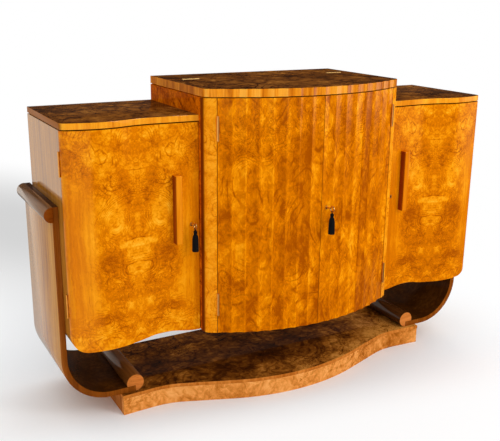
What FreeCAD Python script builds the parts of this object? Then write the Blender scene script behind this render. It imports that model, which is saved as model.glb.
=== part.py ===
import FreeCAD, Part
import math
import os

# A walnut bar cabinet: a tall bow-fronted centre between two lower side cupboards,
# carried by two bent cradle panels on a serpentine plinth. Millimetres, Z up,
# X to the right as one faces the front, and the front looks along -Y.
# "Depth" is measured forward from the flat rear of the cupboards; the plinth and the
# cradle reach a little behind it.

# Overall sizes
side_half_width = 800.0
centre_half_width = 370.0
centre_height = 1082.0
side_top_step = 82.0
carcass_bottom = 287.0
bow_depth = 538.0
carcass_setback = 168.0
bow_radius = 694.0
panel_thickness = 18.0
back_thickness = 6.0
shelf_thickness = 16.0

# Tops and the dark shadow line under them
side_top_thickness = 19.0
side_top_shadow = 3.5
centre_top_thickness = 25.0
centre_top_shadow = 3.0
shadow_groove = 6.0
lid_rest_clearance = 0.3

# Front outline of the side cupboards in plan, from the centre outwards
side_front_projection = 26.4
side_front_lead_angle = 2.5
side_front_hollow_radius = 278.9
side_front_rise_angle = 17.5
side_front_swell_radius = 240.1
side_front_fall_angle = 13.9
side_front_fall_run = 40.8
side_front_corner_radius = 25.0
lower_corner_radius = 50.0

# Plinth
plinth_end_setback = 173.0
plinth_height = 72.0
plinth_board_thickness = 13.0
plinth_rail_thickness = 18.0
plinth_shadow_inset = 1.5
plinth_front_setback = 88.0
plinth_bow_radius = 716.0
plinth_bow_angle = 20.5
plinth_hollow_radius = 257.0
plinth_flare_angle = 3.3
plinth_flare_run = 112.4
plinth_cross_rail_place = 240.0

# Cradle panels and rods
cradle_thickness = 20.0
foot_rear_overhang = 34.0
cradle_setback = 50.0
cradle_bend_radius = 164.0
cradle_foot_run = 79.4
upper_rod_radius = 24.3
upper_rod_height = 720.0
upper_rod_overhang = 16.0
upper_rod_rear_inset = 16.0
cradle_top_rise = 20.0
lower_rod_radius = 30.0

# Doors
side_door_gap = 1.5
side_door_centre_clearance = 2.0
side_door_arch_offset = 120.0
side_door_arch_run = 110.0
side_door_arch_rise = 11.0
centre_door_thickness = 22.0
centre_door_meeting_gap = 2.0
centre_door_frame_clearance = 2.0
flute_count = 8
flute_depth = 4.0
post_width = 34.5
post_flat = 9.8
post_corner_radius = 24.0

# Inside the side cupboards
side_shelf_height = 630.0
side_shelf_setback = 14.0

# Inside the centre
centre_shelf_height = 548.0
centre_shelf_setback = 20.0
well_depth = 230.0
well_board_thickness = 12.0

# Rear top strip and lid
lid_depth = 380.0
lid_joint = 1.0
lid_hinge_setback = 82.0
lid_hinge_length = 62.0
lid_hinge_leaf_width = 8.5
lid_hinge_leaf_thickness = 1.5
lid_hinge_knuckle_radius = 2.6

# Quadrant stays that hold the lid open
lid_open_angle = 95.0
stay_radius = 195.0
stay_width = 10.0
stay_thickness = 3.0
stay_engagement_angle = 12.0
stay_guide_angle = 15.0
stay_side_gap = 9.5
stay_clearance = 0.5
stay_foot_length = 40.0
stay_foot_width = 13.0
stay_foot_thickness = 2.5
stay_guide_length = 16.0
stay_guide_height = 20.0
stay_guide_lip = 2.5

# Butt hinges of the doors
side_hinge_length = 76.0
side_hinge_leaf_width = 20.0
side_hinge_leaf_thickness = 1.6
side_hinge_knuckle_radius = 2.7
side_hinge_offset = 3.0
side_hinge_rise = 63.0
side_hinge_drop = 60.5
centre_hinge_length = 76.0
centre_hinge_leaf_width = 24.0
centre_hinge_leaf_thickness = 1.8
centre_hinge_knuckle_radius = 3.7
centre_hinge_stand_off = 4.4
centre_hinge_rise = 63.0
centre_hinge_drop = 54.0
hinge_pin_share = 0.45
hinge_knuckle_count = 5
hinge_knuckle_gap = 0.2
hinge_leaf_gap = 0.4
hinge_clearance = 0.3
pin_clearance = 0.05
screw_head_radius = 3.0
screw_shank_radius = 1.4
screw_length = 12.0
screw_places_share = (1 / 6, 1 / 2, 5 / 6)

# Handles of the side doors
handle_offset = 78.0
handle_width = 24.0
handle_stand = 22.0
handle_edge_radius = 6.0
handle_drop = 159.5
handle_length = 220.0

# Locks, keys and tassels
side_key_offset = 29.0
side_key_drop = 323.5
centre_key_place = 22.0
centre_key_drop = 362.0
lock_case_width = 42.0
lock_case_height = 52.0
lock_case_depth = 9.0
bolt_height = 8.0
bolt_thickness = 4.0
bolt_length = 24.0
bolt_throw = 8.0
bolt_offset = 13.0
bolt_clearance = 0.4
key_cavity_radius = 6.0
key_cavity_floor = 1.5
keyhole_radius = 2.9
keyhole_slot_width = 3.0
keyhole_slot_drop = 6.0
escutcheon_rim = 1.8
escutcheon_depth = 3.0
key_shank_radius = 2.6
key_bit_width = 2.2
key_bit_reach = 5.2
key_bit_inset = 1.0
key_bit_length = 4.0
key_collar_radius = 3.6
key_collar_length = 1.8
key_stand_off = 19.4
key_bow_radius = 11.0
key_bow_hole_radius = 7.0
key_bow_thickness = 2.4
tassel_loop_radius = 3.4
tassel_loop_cord_radius = 0.8
tassel_head_radius = 6.0
tassel_neck_radius = 4.6
tassel_skirt_radius = 11.0
tassel_length = 72.0
tassel_neck_share = 0.2
tassel_skirt_start_share = 0.3
tassel_hem_share = 0.04

# One allowance by which cutting tools reach past a face
overrun = 5.0

# Places that follow from the sizes
side_height = centre_height - side_top_step
carcass_depth = bow_depth - carcass_setback
side_front_depth = carcass_depth + side_front_projection
plinth_half_width = side_half_width - plinth_end_setback
plinth_front_depth = bow_depth - plinth_front_setback
foot_rear_depth = -foot_rear_overhang
cradle_front_depth = carcass_depth - cradle_setback
upper_rod_front_depth = cradle_front_depth + upper_rod_overhang
lower_rod_place = side_half_width + cradle_thickness - cradle_bend_radius - cradle_foot_run
rear_strip_depth = bow_depth - lid_depth
lid_hinge_place = centre_half_width - lid_hinge_setback
front_reach = bow_depth + key_stand_off + key_bow_radius * 2 - key_bow_thickness / 2
rear_y = (front_reach - foot_rear_overhang) / 2
bow_centre_depth = bow_depth - bow_radius
side_top_underside = side_height - side_top_thickness
side_door_top = side_top_underside - side_top_shadow
centre_top_underside = centre_height - centre_top_thickness
centre_door_top = centre_top_underside - centre_top_shadow
side_door_back = carcass_depth + side_door_gap
inner_half_width = centre_half_width - panel_thickness
post_inner_face = centre_half_width - post_width
hinge_line = post_inner_face - centre_door_meeting_gap / 2
centre_door_edge = hinge_line - centre_door_meeting_gap / 2
door_inner_radius = bow_radius - centre_door_thickness
frame_front_radius = door_inner_radius - centre_door_frame_clearance
lid_underside = centre_top_underside + lid_rest_clearance
lid_rear_depth = rear_strip_depth + lid_joint / 2
well_floor_top = centre_top_underside - well_depth
post_corner_x = centre_half_width - post_corner_radius
post_corner_depth = bow_centre_depth + math.sqrt(
    (bow_radius - post_corner_radius) ** 2 - post_corner_x ** 2)
post_depth_start = post_corner_depth - post_flat
stay_place = inner_half_width - stay_side_gap
side_hinge_low = carcass_bottom + lower_corner_radius + side_hinge_rise
side_hinge_high = side_door_top - side_hinge_drop - side_hinge_length
centre_hinge_low = carcass_bottom + centre_hinge_rise
centre_hinge_high = centre_door_top - centre_hinge_drop - centre_hinge_length
handle_place = centre_half_width + handle_offset
handle_bottom = side_door_top - handle_drop - handle_length
side_key_place = centre_half_width + side_key_offset
side_key_height = side_door_top - side_key_drop
centre_key_height = centre_door_top - centre_key_drop

LEFT_RIGHT = (("left", -1), ("right", 1))


def at(x, depth, z):
    """A point, with the depth measured forward from the rear of the cabinet."""
    return FreeCAD.Vector(x, rear_y - depth, z)


def box(x_span, depth_span, z_span):
    """A block between two places along each direction."""
    low_x, high_x = sorted(x_span)
    near, far = sorted(depth_span)
    low_z, high_z = sorted(z_span)
    block = Part.makeBox(high_x - low_x, far - near, high_z - low_z)
    block.translate(at(low_x, far, low_z))
    return block


def line(start, end):
    return Part.LineSegment(start, end).toShape()


def arc(start, middle, end):
    return Part.Arc(start, middle, end).toShape()


def flipped(shape):
    """The same piece on the other side of the cabinet."""
    return shape.mirror(FreeCAD.Vector(0, 0, 0), FreeCAD.Vector(1, 0, 0))


def on_side(shape, sign):
    """A piece modelled on the right, brought to the side that the sign names."""
    return shape if sign > 0 else flipped(shape)


def prism(edges, direction):
    """A solid whose outline is the closed run of edges."""
    wire = Part.Wire(Part.__sortEdges__(edges))
    return Part.Face(wire).extrude(direction)


def plan_prism(edges, low, high):
    """A solid from an outline drawn in plan at height zero."""
    solid = prism(edges, FreeCAD.Vector(0, 0, high - low))
    solid.translate(FreeCAD.Vector(0, 0, low))
    return solid


def front_prism(edges, near, far):
    """A solid from an outline drawn in front view at depth zero."""
    solid = prism(edges, FreeCAD.Vector(0, near - far, 0))
    solid.translate(FreeCAD.Vector(0, -near, 0))
    return solid


def trace(place, point, heading, moves):
    """Edges along straight runs and tangent bends, with the point where they end."""
    edges = []
    across, along = point
    for kind, length, turn in moves:
        first = place(across, along)
        if kind == "run":
            across += length * math.cos(heading)
            along += length * math.sin(heading)
            edges.append(line(first, place(across, along)))
            continue
        radius = math.copysign(length, turn)
        centre = (across - radius * math.sin(heading), along + radius * math.cos(heading))
        half_way = heading + math.radians(turn) / 2
        middle = place(centre[0] + radius * math.sin(half_way), centre[1] - radius * math.cos(half_way))
        heading += math.radians(turn)
        across = centre[0] + radius * math.sin(heading)
        along = centre[1] - radius * math.cos(heading)
        edges.append(arc(first, middle, place(across, along)))
    return edges, (across, along)


def in_plan(x, depth):
    return at(x, depth, 0)


def in_front_view(x, z):
    return at(x, 0, z)


def rod_along_depth(x, z, radius, near, far):
    """A round bar that runs from front to back."""
    return Part.makeCylinder(radius, far - near, at(x, far, z), FreeCAD.Vector(0, 1, 0))


def bow_disc(radius, low, high):
    """An upright disc about the centre of the bow."""
    return Part.makeCylinder(radius, high - low, at(0, bow_centre_depth, low))


def placed(shape, origin, x_axis, y_axis):
    """A piece modelled about the origin, laid along the two given directions."""
    z_axis = x_axis.cross(y_axis)
    turned = FreeCAD.Matrix(
        x_axis.x, y_axis.x, z_axis.x, origin.x,
        x_axis.y, y_axis.y, z_axis.y, origin.y,
        x_axis.z, y_axis.z, z_axis.z, origin.z,
        0, 0, 0, 1)
    moved = shape.copy()
    moved.Placement = FreeCAD.Placement(turned).multiply(moved.Placement)
    return moved


# Outlines

def side_front_path():
    """The right cupboard's front in plan, from the centre's side to the outer side."""
    lead = math.radians(side_front_lead_angle)
    fall = math.radians(side_front_fall_angle)
    moves = [
        ("bend", side_front_hollow_radius, side_front_lead_angle + side_front_rise_angle),
        ("bend", side_front_swell_radius, -side_front_rise_angle - side_front_fall_angle),
        ("run", side_front_fall_run, 0),
        ("bend", side_front_corner_radius, side_front_fall_angle - 90)]
    start = (centre_half_width, side_front_depth)
    shaped_width = trace(in_plan, (0, 0), -lead, moves)[1][0]
    lead_run = (side_half_width - centre_half_width - shaped_width) / math.cos(lead)
    edges, end = trace(in_plan, start, -lead, [("run", lead_run, 0)] + moves)
    return edges, start, end


def side_plan_prism(rear_depth, low, high):
    """A slab with the side cupboard's front outline and a straight rear."""
    edges, start, end = side_front_path()
    edges.append(line(in_plan(*end), in_plan(end[0], rear_depth)))
    edges.append(line(in_plan(end[0], rear_depth), in_plan(start[0], rear_depth)))
    edges.append(line(in_plan(start[0], rear_depth), in_plan(*start)))
    return plan_prism(edges, low, high)


def side_elevation_prism(inset, top, near, far):
    """The cupboard's front-view shape, with its rounded lower corner, drawn in by the inset."""
    radius = lower_corner_radius - inset
    bottom = carcass_bottom + inset
    outer = side_half_width - inset
    start = (centre_half_width, bottom)
    moves = [
        ("run", outer - radius - centre_half_width, 0),
        ("bend", radius, 90),
        ("run", top - bottom - radius, 0)]
    edges, end = trace(in_front_view, start, 0, moves)
    edges.append(line(in_front_view(*end), in_front_view(centre_half_width, top)))
    edges.append(line(in_front_view(centre_half_width, top), in_front_view(*start)))
    return front_prism(edges, near, far)


def plinth_front_path(half_width, inset):
    """The right half of the plinth's front in plan, drawn back by the inset."""
    bow = math.radians(plinth_bow_angle)
    flare = math.radians(plinth_flare_angle)
    bow_width = plinth_bow_radius * math.sin(bow)
    hollow_width = plinth_hollow_radius * (math.sin(bow) + math.sin(flare))
    flare_width = plinth_flare_run * math.cos(flare)
    bow_run = (plinth_half_width - bow_width - hollow_width - flare_width) / math.cos(bow)
    moves = [
        ("bend", plinth_bow_radius - inset, -plinth_bow_angle),
        ("run", bow_run, 0),
        ("bend", plinth_hollow_radius + inset, plinth_bow_angle + plinth_flare_angle)]
    edges, end = trace(in_plan, (0, plinth_front_depth - inset), 0, moves)
    edges_out, end = trace(in_plan, end, flare, [("run", (half_width - end[0]) / math.cos(flare), 0)])
    return edges + edges_out, end


def both_halves(edges):
    return edges + [flipped(edge) for edge in edges]


def plinth_prism(half_width, inset, rear_depth, low, high):
    """A serpentine-fronted slab."""
    edges, end = plinth_front_path(half_width, inset)
    edges = edges + [line(in_plan(*end), in_plan(end[0], rear_depth))]
    edges = both_halves(edges)
    edges.append(line(in_plan(end[0], rear_depth), in_plan(-end[0], rear_depth)))
    return plan_prism(edges, low, high)


def bow_point(angle, radius):
    return in_plan(radius * math.sin(angle), bow_centre_depth + radius * math.cos(angle))


def flute_path():
    """The right half's flutes in plan, from the centre line to the hinge line."""
    step = math.asin(hinge_line / bow_radius) / flute_count
    edges = []
    for index in range(flute_count):
        start = bow_point(index * step, bow_radius)
        middle = bow_point((index + 1 / 2) * step, bow_radius - flute_depth)
        end = bow_point((index + 1) * step, bow_radius)
        edges.append(arc(start, middle, end))
    return edges


def post_front_path(start_x):
    """The bow's plain end and the rounded corner beside it, with the corner's end."""
    start_angle = math.asin(start_x / bow_radius)
    end_angle = math.asin(post_corner_x / (bow_radius - post_corner_radius))
    plain = arc(
        bow_point(start_angle, bow_radius),
        bow_point((start_angle + end_angle) / 2, bow_radius),
        bow_point(end_angle, bow_radius))
    half_turn = (math.pi / 2 + end_angle) / 2
    middle = in_plan(
        post_corner_x + post_corner_radius * math.sin(half_turn),
        post_corner_depth + post_corner_radius * math.cos(half_turn))
    end = (centre_half_width, post_corner_depth)
    corner = arc(bow_point(end_angle, bow_radius), middle, in_plan(*end))
    return [plain, corner], end


# Hinges

def knuckle_spans(length, first):
    """Where one leaf's knuckles lie along the pin."""
    pitch = length / hinge_knuckle_count
    spans = []
    for index in range(first, hinge_knuckle_count, 2):
        low = index * pitch + hinge_knuckle_gap / 2
        high = (index + 1) * pitch - hinge_knuckle_gap / 2
        spans.append((low, high))
    return spans


def local_box(x_span, y_span, z_span):
    """A block in a hinge's own directions, where the pin runs along Z."""
    block = Part.makeBox(x_span[1] - x_span[0], y_span[1] - y_span[0], z_span[1] - z_span[0])
    block.translate(FreeCAD.Vector(x_span[0], y_span[0], z_span[0]))
    return block


def local_cylinder(radius, low, high):
    return Part.makeCylinder(radius, high - low, FreeCAD.Vector(0, 0, low))


def hinge_leaf(length, knuckle, width, y_span, bore, first):
    """A plate with its knuckles, reaching along X from the pin."""
    relief = knuckle + hinge_clearance
    leaf = local_box((relief, width), y_span, (0, length))
    for low, high in knuckle_spans(length, first):
        leaf = leaf.fuse(local_box((0, relief), y_span, (low, high)))
        leaf = leaf.fuse(local_cylinder(knuckle, low, high))
    leaf = leaf.cut(local_cylinder(bore, -overrun, length + overrun))
    return leaf.removeSplitter()


def leaf_screws(length, knuckle, width, head_y, thickness, sign):
    """Countersunk screws through a leaf; the sign is the way they point along Y."""
    place_x = (knuckle + hinge_clearance + width) / 2
    axis = FreeCAD.Vector(0, sign, 0)
    head_radius = min(screw_head_radius, (width - knuckle - hinge_clearance) / 2 - hinge_clearance)
    screws = []
    for share in screw_places_share:
        top = FreeCAD.Vector(place_x, head_y, length * share)
        neck = FreeCAD.Vector(place_x, head_y + sign * thickness, length * share)
        head = Part.makeCone(head_radius, screw_shank_radius, thickness, top, axis)
        shank = Part.makeCylinder(screw_shank_radius, screw_length - thickness, neck, axis)
        screws.append(head.fuse(shank))
    return screws


def hinge_half(length, knuckle, width, thickness, near_y, sign, first, bore):
    """One leaf with its screws, and the shape let into the wood for it."""
    far_y = near_y + sign * thickness
    y_span = (min(near_y, far_y), max(near_y, far_y))
    leaf = hinge_leaf(length, knuckle, width, y_span, bore, first)
    screws = leaf_screws(length, knuckle, width, near_y, thickness, sign)
    recess = local_box((0, width), (min(0, far_y), max(0, far_y)), (0, length))
    for screw in screws:
        leaf = leaf.cut(screw)
        recess = recess.fuse(screw)
    return [leaf] + screws, recess


def butt_hinge(length, knuckle, width, thickness):
    """A closed butt hinge: fixed leaf on +Y, moving leaf on -Y, both reaching along X."""
    pin = knuckle * hinge_pin_share
    gap = hinge_leaf_gap / 2
    fixed, fixed_recess = hinge_half(length, knuckle, width, thickness, gap, 1, 0, pin)
    moving, moving_recess = hinge_half(
        length, knuckle, width, thickness, -gap, -1, 1, pin + pin_clearance)
    fixed.append(local_cylinder(pin, 0, length))
    return fixed, fixed_recess, moving, moving_recess


def flat_hinge(length, knuckle, width, thickness):
    """An open hinge with its pin level with the wood: fixed leaf on -X, moving leaf on +X."""
    pin = knuckle * hinge_pin_share
    fixed, fixed_recess = hinge_half(length, knuckle, width, thickness, 0, -1, 0, pin)
    moving, moving_recess = hinge_half(
        length, knuckle, width, thickness, 0, -1, 1, pin + pin_clearance)
    trough = local_cylinder(knuckle + hinge_clearance, 0, length)
    fixed = [flipped(piece) for piece in fixed]
    fixed.append(local_cylinder(pin, 0, length))
    return fixed, flipped(fixed_recess).fuse(trough), moving, moving_recess.fuse(trough)


def side_door_hinges():
    """The right side door's two hinges, in place."""
    hinge = butt_hinge(
        side_hinge_length, side_hinge_knuckle_radius, side_hinge_leaf_width, side_hinge_leaf_thickness)
    inward = FreeCAD.Vector(-1, 0, 0)
    rearward = FreeCAD.Vector(0, 1, 0)
    pivot_x = side_half_width + side_hinge_offset
    tops = [
        at(pivot_x, carcass_depth + side_door_gap / 2, low + side_hinge_length)
        for low in (side_hinge_low, side_hinge_high)]
    return hinge_sets(hinge, tops, inward, rearward)


def centre_door_hinges():
    """The right centre door's two hinges, in place."""
    hinge = butt_hinge(
        centre_hinge_length, centre_hinge_knuckle_radius, centre_hinge_leaf_width,
        centre_hinge_leaf_thickness)
    rearward = FreeCAD.Vector(0, 1, 0)
    outward = FreeCAD.Vector(1, 0, 0)
    tops = [
        at(hinge_line, centre_hinge_depth(), low + centre_hinge_length)
        for low in (centre_hinge_low, centre_hinge_high)]
    return hinge_sets(hinge, tops, rearward, outward)


def centre_hinge_depth():
    """The centre doors' pivot, just in front of the door's outer front corner."""
    corner = bow_centre_depth + math.sqrt(bow_radius ** 2 - centre_door_edge ** 2)
    return corner + centre_hinge_stand_off


def lid_hinges():
    """Both hinges between the rear strip and the lid, in place."""
    hinge = flat_hinge(
        lid_hinge_length, lid_hinge_knuckle_radius, lid_hinge_leaf_width, lid_hinge_leaf_thickness)
    forward = FreeCAD.Vector(0, -1, 0)
    upward = FreeCAD.Vector(0, 0, 1)
    ends = [
        at(sign * lid_hinge_place + lid_hinge_length / 2, rear_strip_depth, centre_height)
        for sign in (-1, 1)]
    return hinge_sets(hinge, ends, forward, upward)


def hinge_sets(hinge, origins, x_axis, y_axis):
    """Copies of one hinge: fixed pieces, fixed recesses, moving pieces, moving recesses."""
    fixed, fixed_recess, moving, moving_recess = hinge
    sets = ([], [], [], [])
    for origin in origins:
        sets[0].extend(placed(piece, origin, x_axis, y_axis) for piece in fixed)
        sets[1].append(placed(fixed_recess, origin, x_axis, y_axis))
        sets[2].extend(placed(piece, origin, x_axis, y_axis) for piece in moving)
        sets[3].append(placed(moving_recess, origin, x_axis, y_axis))
    return sets


def cut_all(shape, tools):
    for tool in tools:
        shape = shape.cut(tool)
    return shape


# Plinth

def plinth_top_board():
    low = plinth_height - plinth_board_thickness
    return plinth_prism(plinth_half_width, 0, foot_rear_depth, low, plinth_height)


def plinth_front_apron():
    """The serpentine rail under the board's front edge, between the end rails."""
    high = plinth_height - plinth_board_thickness
    half_width = plinth_half_width - plinth_shadow_inset
    back_inset = plinth_shadow_inset + plinth_rail_thickness
    outer = plinth_prism(half_width, plinth_shadow_inset, plinth_rail_thickness, 0, high)
    inner = plinth_prism(half_width + overrun, back_inset, 0, -overrun, high + overrun)
    return outer.cut(inner)


def plinth_ends():
    """The end rails, from the back rail to the apron."""
    high = plinth_height - plinth_board_thickness
    outer = plinth_half_width - plinth_shadow_inset
    inset = plinth_shadow_inset + plinth_rail_thickness
    body = plinth_prism(outer, inset, foot_rear_depth, 0, high)
    band = box((outer - plinth_rail_thickness, outer), (foot_rear_depth, bow_depth), (0, high))
    end = body.common(band)
    return [end, flipped(end)]


def plinth_back_rail():
    outer = plinth_half_width - plinth_shadow_inset - plinth_rail_thickness
    high = plinth_height - plinth_board_thickness
    front = foot_rear_depth + plinth_rail_thickness
    return box((-outer, outer), (foot_rear_depth, front), (0, high))


def plinth_cross_rails():
    """Two rails from the back rail to the apron."""
    high = plinth_height - plinth_board_thickness
    back_inset = plinth_shadow_inset + plinth_rail_thickness
    back_rail_front = foot_rear_depth + plinth_rail_thickness
    body = plinth_prism(plinth_half_width, back_inset, back_rail_front, 0, high)
    inner = plinth_cross_rail_place - plinth_rail_thickness / 2
    outer = plinth_cross_rail_place + plinth_rail_thickness / 2
    rail = body.common(box((inner, outer), (back_rail_front, bow_depth), (0, high)))
    return [rail, flipped(rail)]


# Cradle

def cradle_panel():
    """The right bent panel: up the cupboard's side, round the bend and in to the lower rod."""
    outer = side_half_width + cradle_thickness
    foot = outer - cradle_bend_radius - lower_rod_place
    rise = upper_rod_height + cradle_top_rise - plinth_height - cradle_bend_radius
    moves = [("run", foot, 0), ("bend", cradle_bend_radius, 90), ("run", rise, 0)]
    edges, end = trace(in_front_view, (lower_rod_place, plinth_height), 0, moves)
    inner_moves = [("run", foot, 0), ("bend", cradle_bend_radius - cradle_thickness, 90), ("run", rise, 0)]
    inner_start = (lower_rod_place, plinth_height + cradle_thickness)
    inner_edges, inner_end = trace(in_front_view, inner_start, 0, inner_moves)
    start = in_front_view(lower_rod_place, plinth_height)
    edges.append(line(start, in_front_view(*inner_start)))
    edges.append(line(in_front_view(*end), in_front_view(*inner_end)))
    return front_prism(edges + inner_edges, foot_rear_depth, cradle_front_depth)


def upper_rod():
    """The right rod, with a flat that lies on the outside of the cradle panel's top."""
    place = side_half_width + upper_rod_radius
    rear = foot_rear_depth + upper_rod_rear_inset
    rod = rod_along_depth(place, upper_rod_height, upper_rod_radius, rear, upper_rod_front_depth)
    inner_part = box(
        (side_half_width - overrun, side_half_width + cradle_thickness),
        (rear - overrun, upper_rod_front_depth + overrun),
        (upper_rod_height - upper_rod_radius - overrun, upper_rod_height + upper_rod_radius + overrun))
    return rod.cut(inner_part)


def lower_rod():
    """The right rod that ends the cradle panel's foot, rebated over the foot's end."""
    height = plinth_height + lower_rod_radius
    rod = rod_along_depth(
        lower_rod_place, height, lower_rod_radius, foot_rear_depth, cradle_front_depth)
    rebate = box(
        (lower_rod_place, lower_rod_place + lower_rod_radius + overrun),
        (foot_rear_depth - overrun, cradle_front_depth + overrun),
        (plinth_height - overrun, plinth_height + cradle_thickness))
    return rod.cut(rebate)


# Side cupboards

def outer_side(recesses):
    """The right cupboard's side, bent round the lower corner as far as the floor."""
    outline = side_elevation_prism(0, side_top_underside, 0, carcass_depth)
    hollow = side_elevation_prism(
        panel_thickness, side_top_underside + overrun, -overrun, carcass_depth + overrun)
    band = box(
        (side_half_width - lower_corner_radius, side_half_width),
        (0, carcass_depth),
        (carcass_bottom, side_top_underside))
    groove = box(
        (side_half_width - shadow_groove, side_half_width + overrun),
        (-overrun, carcass_depth + overrun),
        (side_door_top, side_top_underside + overrun))
    return cut_all(outline.cut(hollow).common(band).cut(groove), recesses)


def side_floor():
    return box(
        (centre_half_width, side_half_width - lower_corner_radius),
        (0, carcass_depth),
        (carcass_bottom, carcass_bottom + panel_thickness))


def side_back():
    return side_elevation_prism(panel_thickness, side_top_underside, 0, back_thickness)


def side_shelf():
    return box(
        (centre_half_width, side_half_width - panel_thickness),
        (back_thickness, carcass_depth - side_shelf_setback),
        (side_shelf_height, side_shelf_height + shelf_thickness))


def side_top():
    return side_plan_prism(0, side_top_underside, side_height)


def side_door_arch():
    """The shallow arch that shapes the right door's lower edge, as a block to cut away."""
    half_run = side_door_arch_run / 2
    half_rise = side_door_arch_rise / 2
    radius = (half_run ** 2 + half_rise ** 2) / (2 * half_rise)
    sweep = math.degrees(2 * math.atan(half_rise / half_run))
    place = centre_half_width + side_door_arch_offset
    moves = [("bend", radius, sweep), ("bend", radius, -2 * sweep), ("bend", radius, sweep)]
    start = (place - side_door_arch_run, carcass_bottom)
    edges, end = trace(in_front_view, start, 0, moves)
    low = carcass_bottom - overrun
    edges.append(line(in_front_view(*end), in_front_view(end[0], low)))
    edges.append(line(in_front_view(end[0], low), in_front_view(start[0], low)))
    edges.append(line(in_front_view(start[0], low), in_front_view(*start)))
    return front_prism(edges, side_door_back - overrun, bow_depth)


def side_door(cuts):
    """The right overlay door, with its shaped front, arched lower edge and rounded corner."""
    body = side_plan_prism(0, carcass_bottom, side_door_top)
    shape = side_elevation_prism(0, side_door_top, side_door_back, bow_depth)
    room = box(
        (centre_half_width + side_door_centre_clearance, side_half_width + overrun),
        (side_door_back, bow_depth),
        (carcass_bottom, side_door_top))
    return cut_all(body.common(shape).common(room).cut(side_door_arch()), cuts)


def side_handle(door):
    """An upright bar with rounded front edges that stands on the right side door."""
    half = handle_width / 2
    back = side_front_depth - half
    front = side_front_depth + handle_stand
    high = handle_bottom + handle_length
    round_depth = front - handle_edge_radius
    round_reach = half - handle_edge_radius
    bar = box((handle_place - half, handle_place + half), (back, round_depth), (handle_bottom, high))
    face = box(
        (handle_place - round_reach, handle_place + round_reach), (back, front), (handle_bottom, high))
    bar = bar.fuse(face)
    for place in (handle_place - round_reach, handle_place + round_reach):
        corner = at(place, round_depth, handle_bottom)
        bar = bar.fuse(Part.makeCylinder(handle_edge_radius, handle_length, corner))
    return bar.cut(door).removeSplitter()


# Locks and keys

def lock_case(edge_x, near, key_x, key_z):
    """A lock case whose front plate is at edge_x, hollow for the bolt and the key's bit."""
    far = near + lock_case_depth
    low = key_z - lock_case_height / 2
    case = box((edge_x, edge_x + lock_case_width), (near, far), (low, low + lock_case_height))
    slot = bolt_room(edge_x - overrun, edge_x + bolt_length + bolt_throw / 2, near, key_z, bolt_clearance)
    cavity = rod_along_depth(key_x, key_z, key_cavity_radius, near + key_cavity_floor, far + overrun)
    return case.cut(slot).cut(cavity)


def bolt_room(low_x, high_x, near, key_z, clearance):
    """The space of a bolt above the key, with clearance all round."""
    middle = near + lock_case_depth / 2
    height = key_z + bolt_offset
    return box(
        (low_x, high_x),
        (middle - bolt_thickness / 2 - clearance, middle + bolt_thickness / 2 + clearance),
        (height - bolt_height / 2 - clearance, height + bolt_height / 2 + clearance))


def lock_bolt(edge_x, near, key_z):
    """The bolt, drawn back into its case."""
    return bolt_room(edge_x, edge_x + bolt_length, near, key_z, 0)


def keeper(edge_x, near, key_z):
    """The mortise that takes the thrown bolt, beyond the lock's edge."""
    return bolt_room(edge_x - bolt_throw - bolt_clearance, edge_x + overrun, near, key_z, bolt_clearance)


def keyhole(key_x, key_z, rim, near, far):
    """A keyhole's outline, grown by a rim, taken through from near to far."""
    hole = rod_along_depth(key_x, key_z, keyhole_radius + rim, near, far)
    half = keyhole_slot_width / 2 + rim
    slot = box((key_x - half, key_x + half), (near, far),
               (key_z - keyhole_slot_drop - rim, key_z))
    return hole.fuse(slot)


def escutcheon(door, key_x, key_z, face_depth):
    """The brass keyhole lining, let in level with the door's front."""
    near = face_depth - escutcheon_depth
    far = face_depth + overrun
    rim = keyhole(key_x, key_z, escutcheon_rim, near, far)
    return rim.cut(keyhole(key_x, key_z, 0, near - overrun, far + overrun)).common(door)


def key(key_x, key_z, lock_near, face_depth):
    """The key in its lock: shank, bit, collar and ring."""
    tip = lock_near + key_cavity_floor + key_bit_inset
    neck = face_depth + key_stand_off
    ring_depth = neck + key_bow_radius - key_bow_thickness / 2
    shank = rod_along_depth(key_x, key_z, key_shank_radius, tip, neck)
    half = key_bit_width / 2
    bit = box((key_x - half, key_x + half), (tip, tip + key_bit_length),
              (key_z - key_bit_reach, key_z))
    collar = rod_along_depth(key_x, key_z, key_collar_radius, neck - key_collar_length, neck)
    left = at(key_x - key_bow_thickness / 2, ring_depth, key_z)
    across = FreeCAD.Vector(1, 0, 0)
    ring = Part.makeCylinder(key_bow_radius, key_bow_thickness, left, across)
    ring = ring.cut(Part.makeCylinder(key_bow_hole_radius, key_bow_thickness, left, across))
    return shank.fuse(bit).fuse(collar).fuse(ring).removeSplitter()


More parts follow.
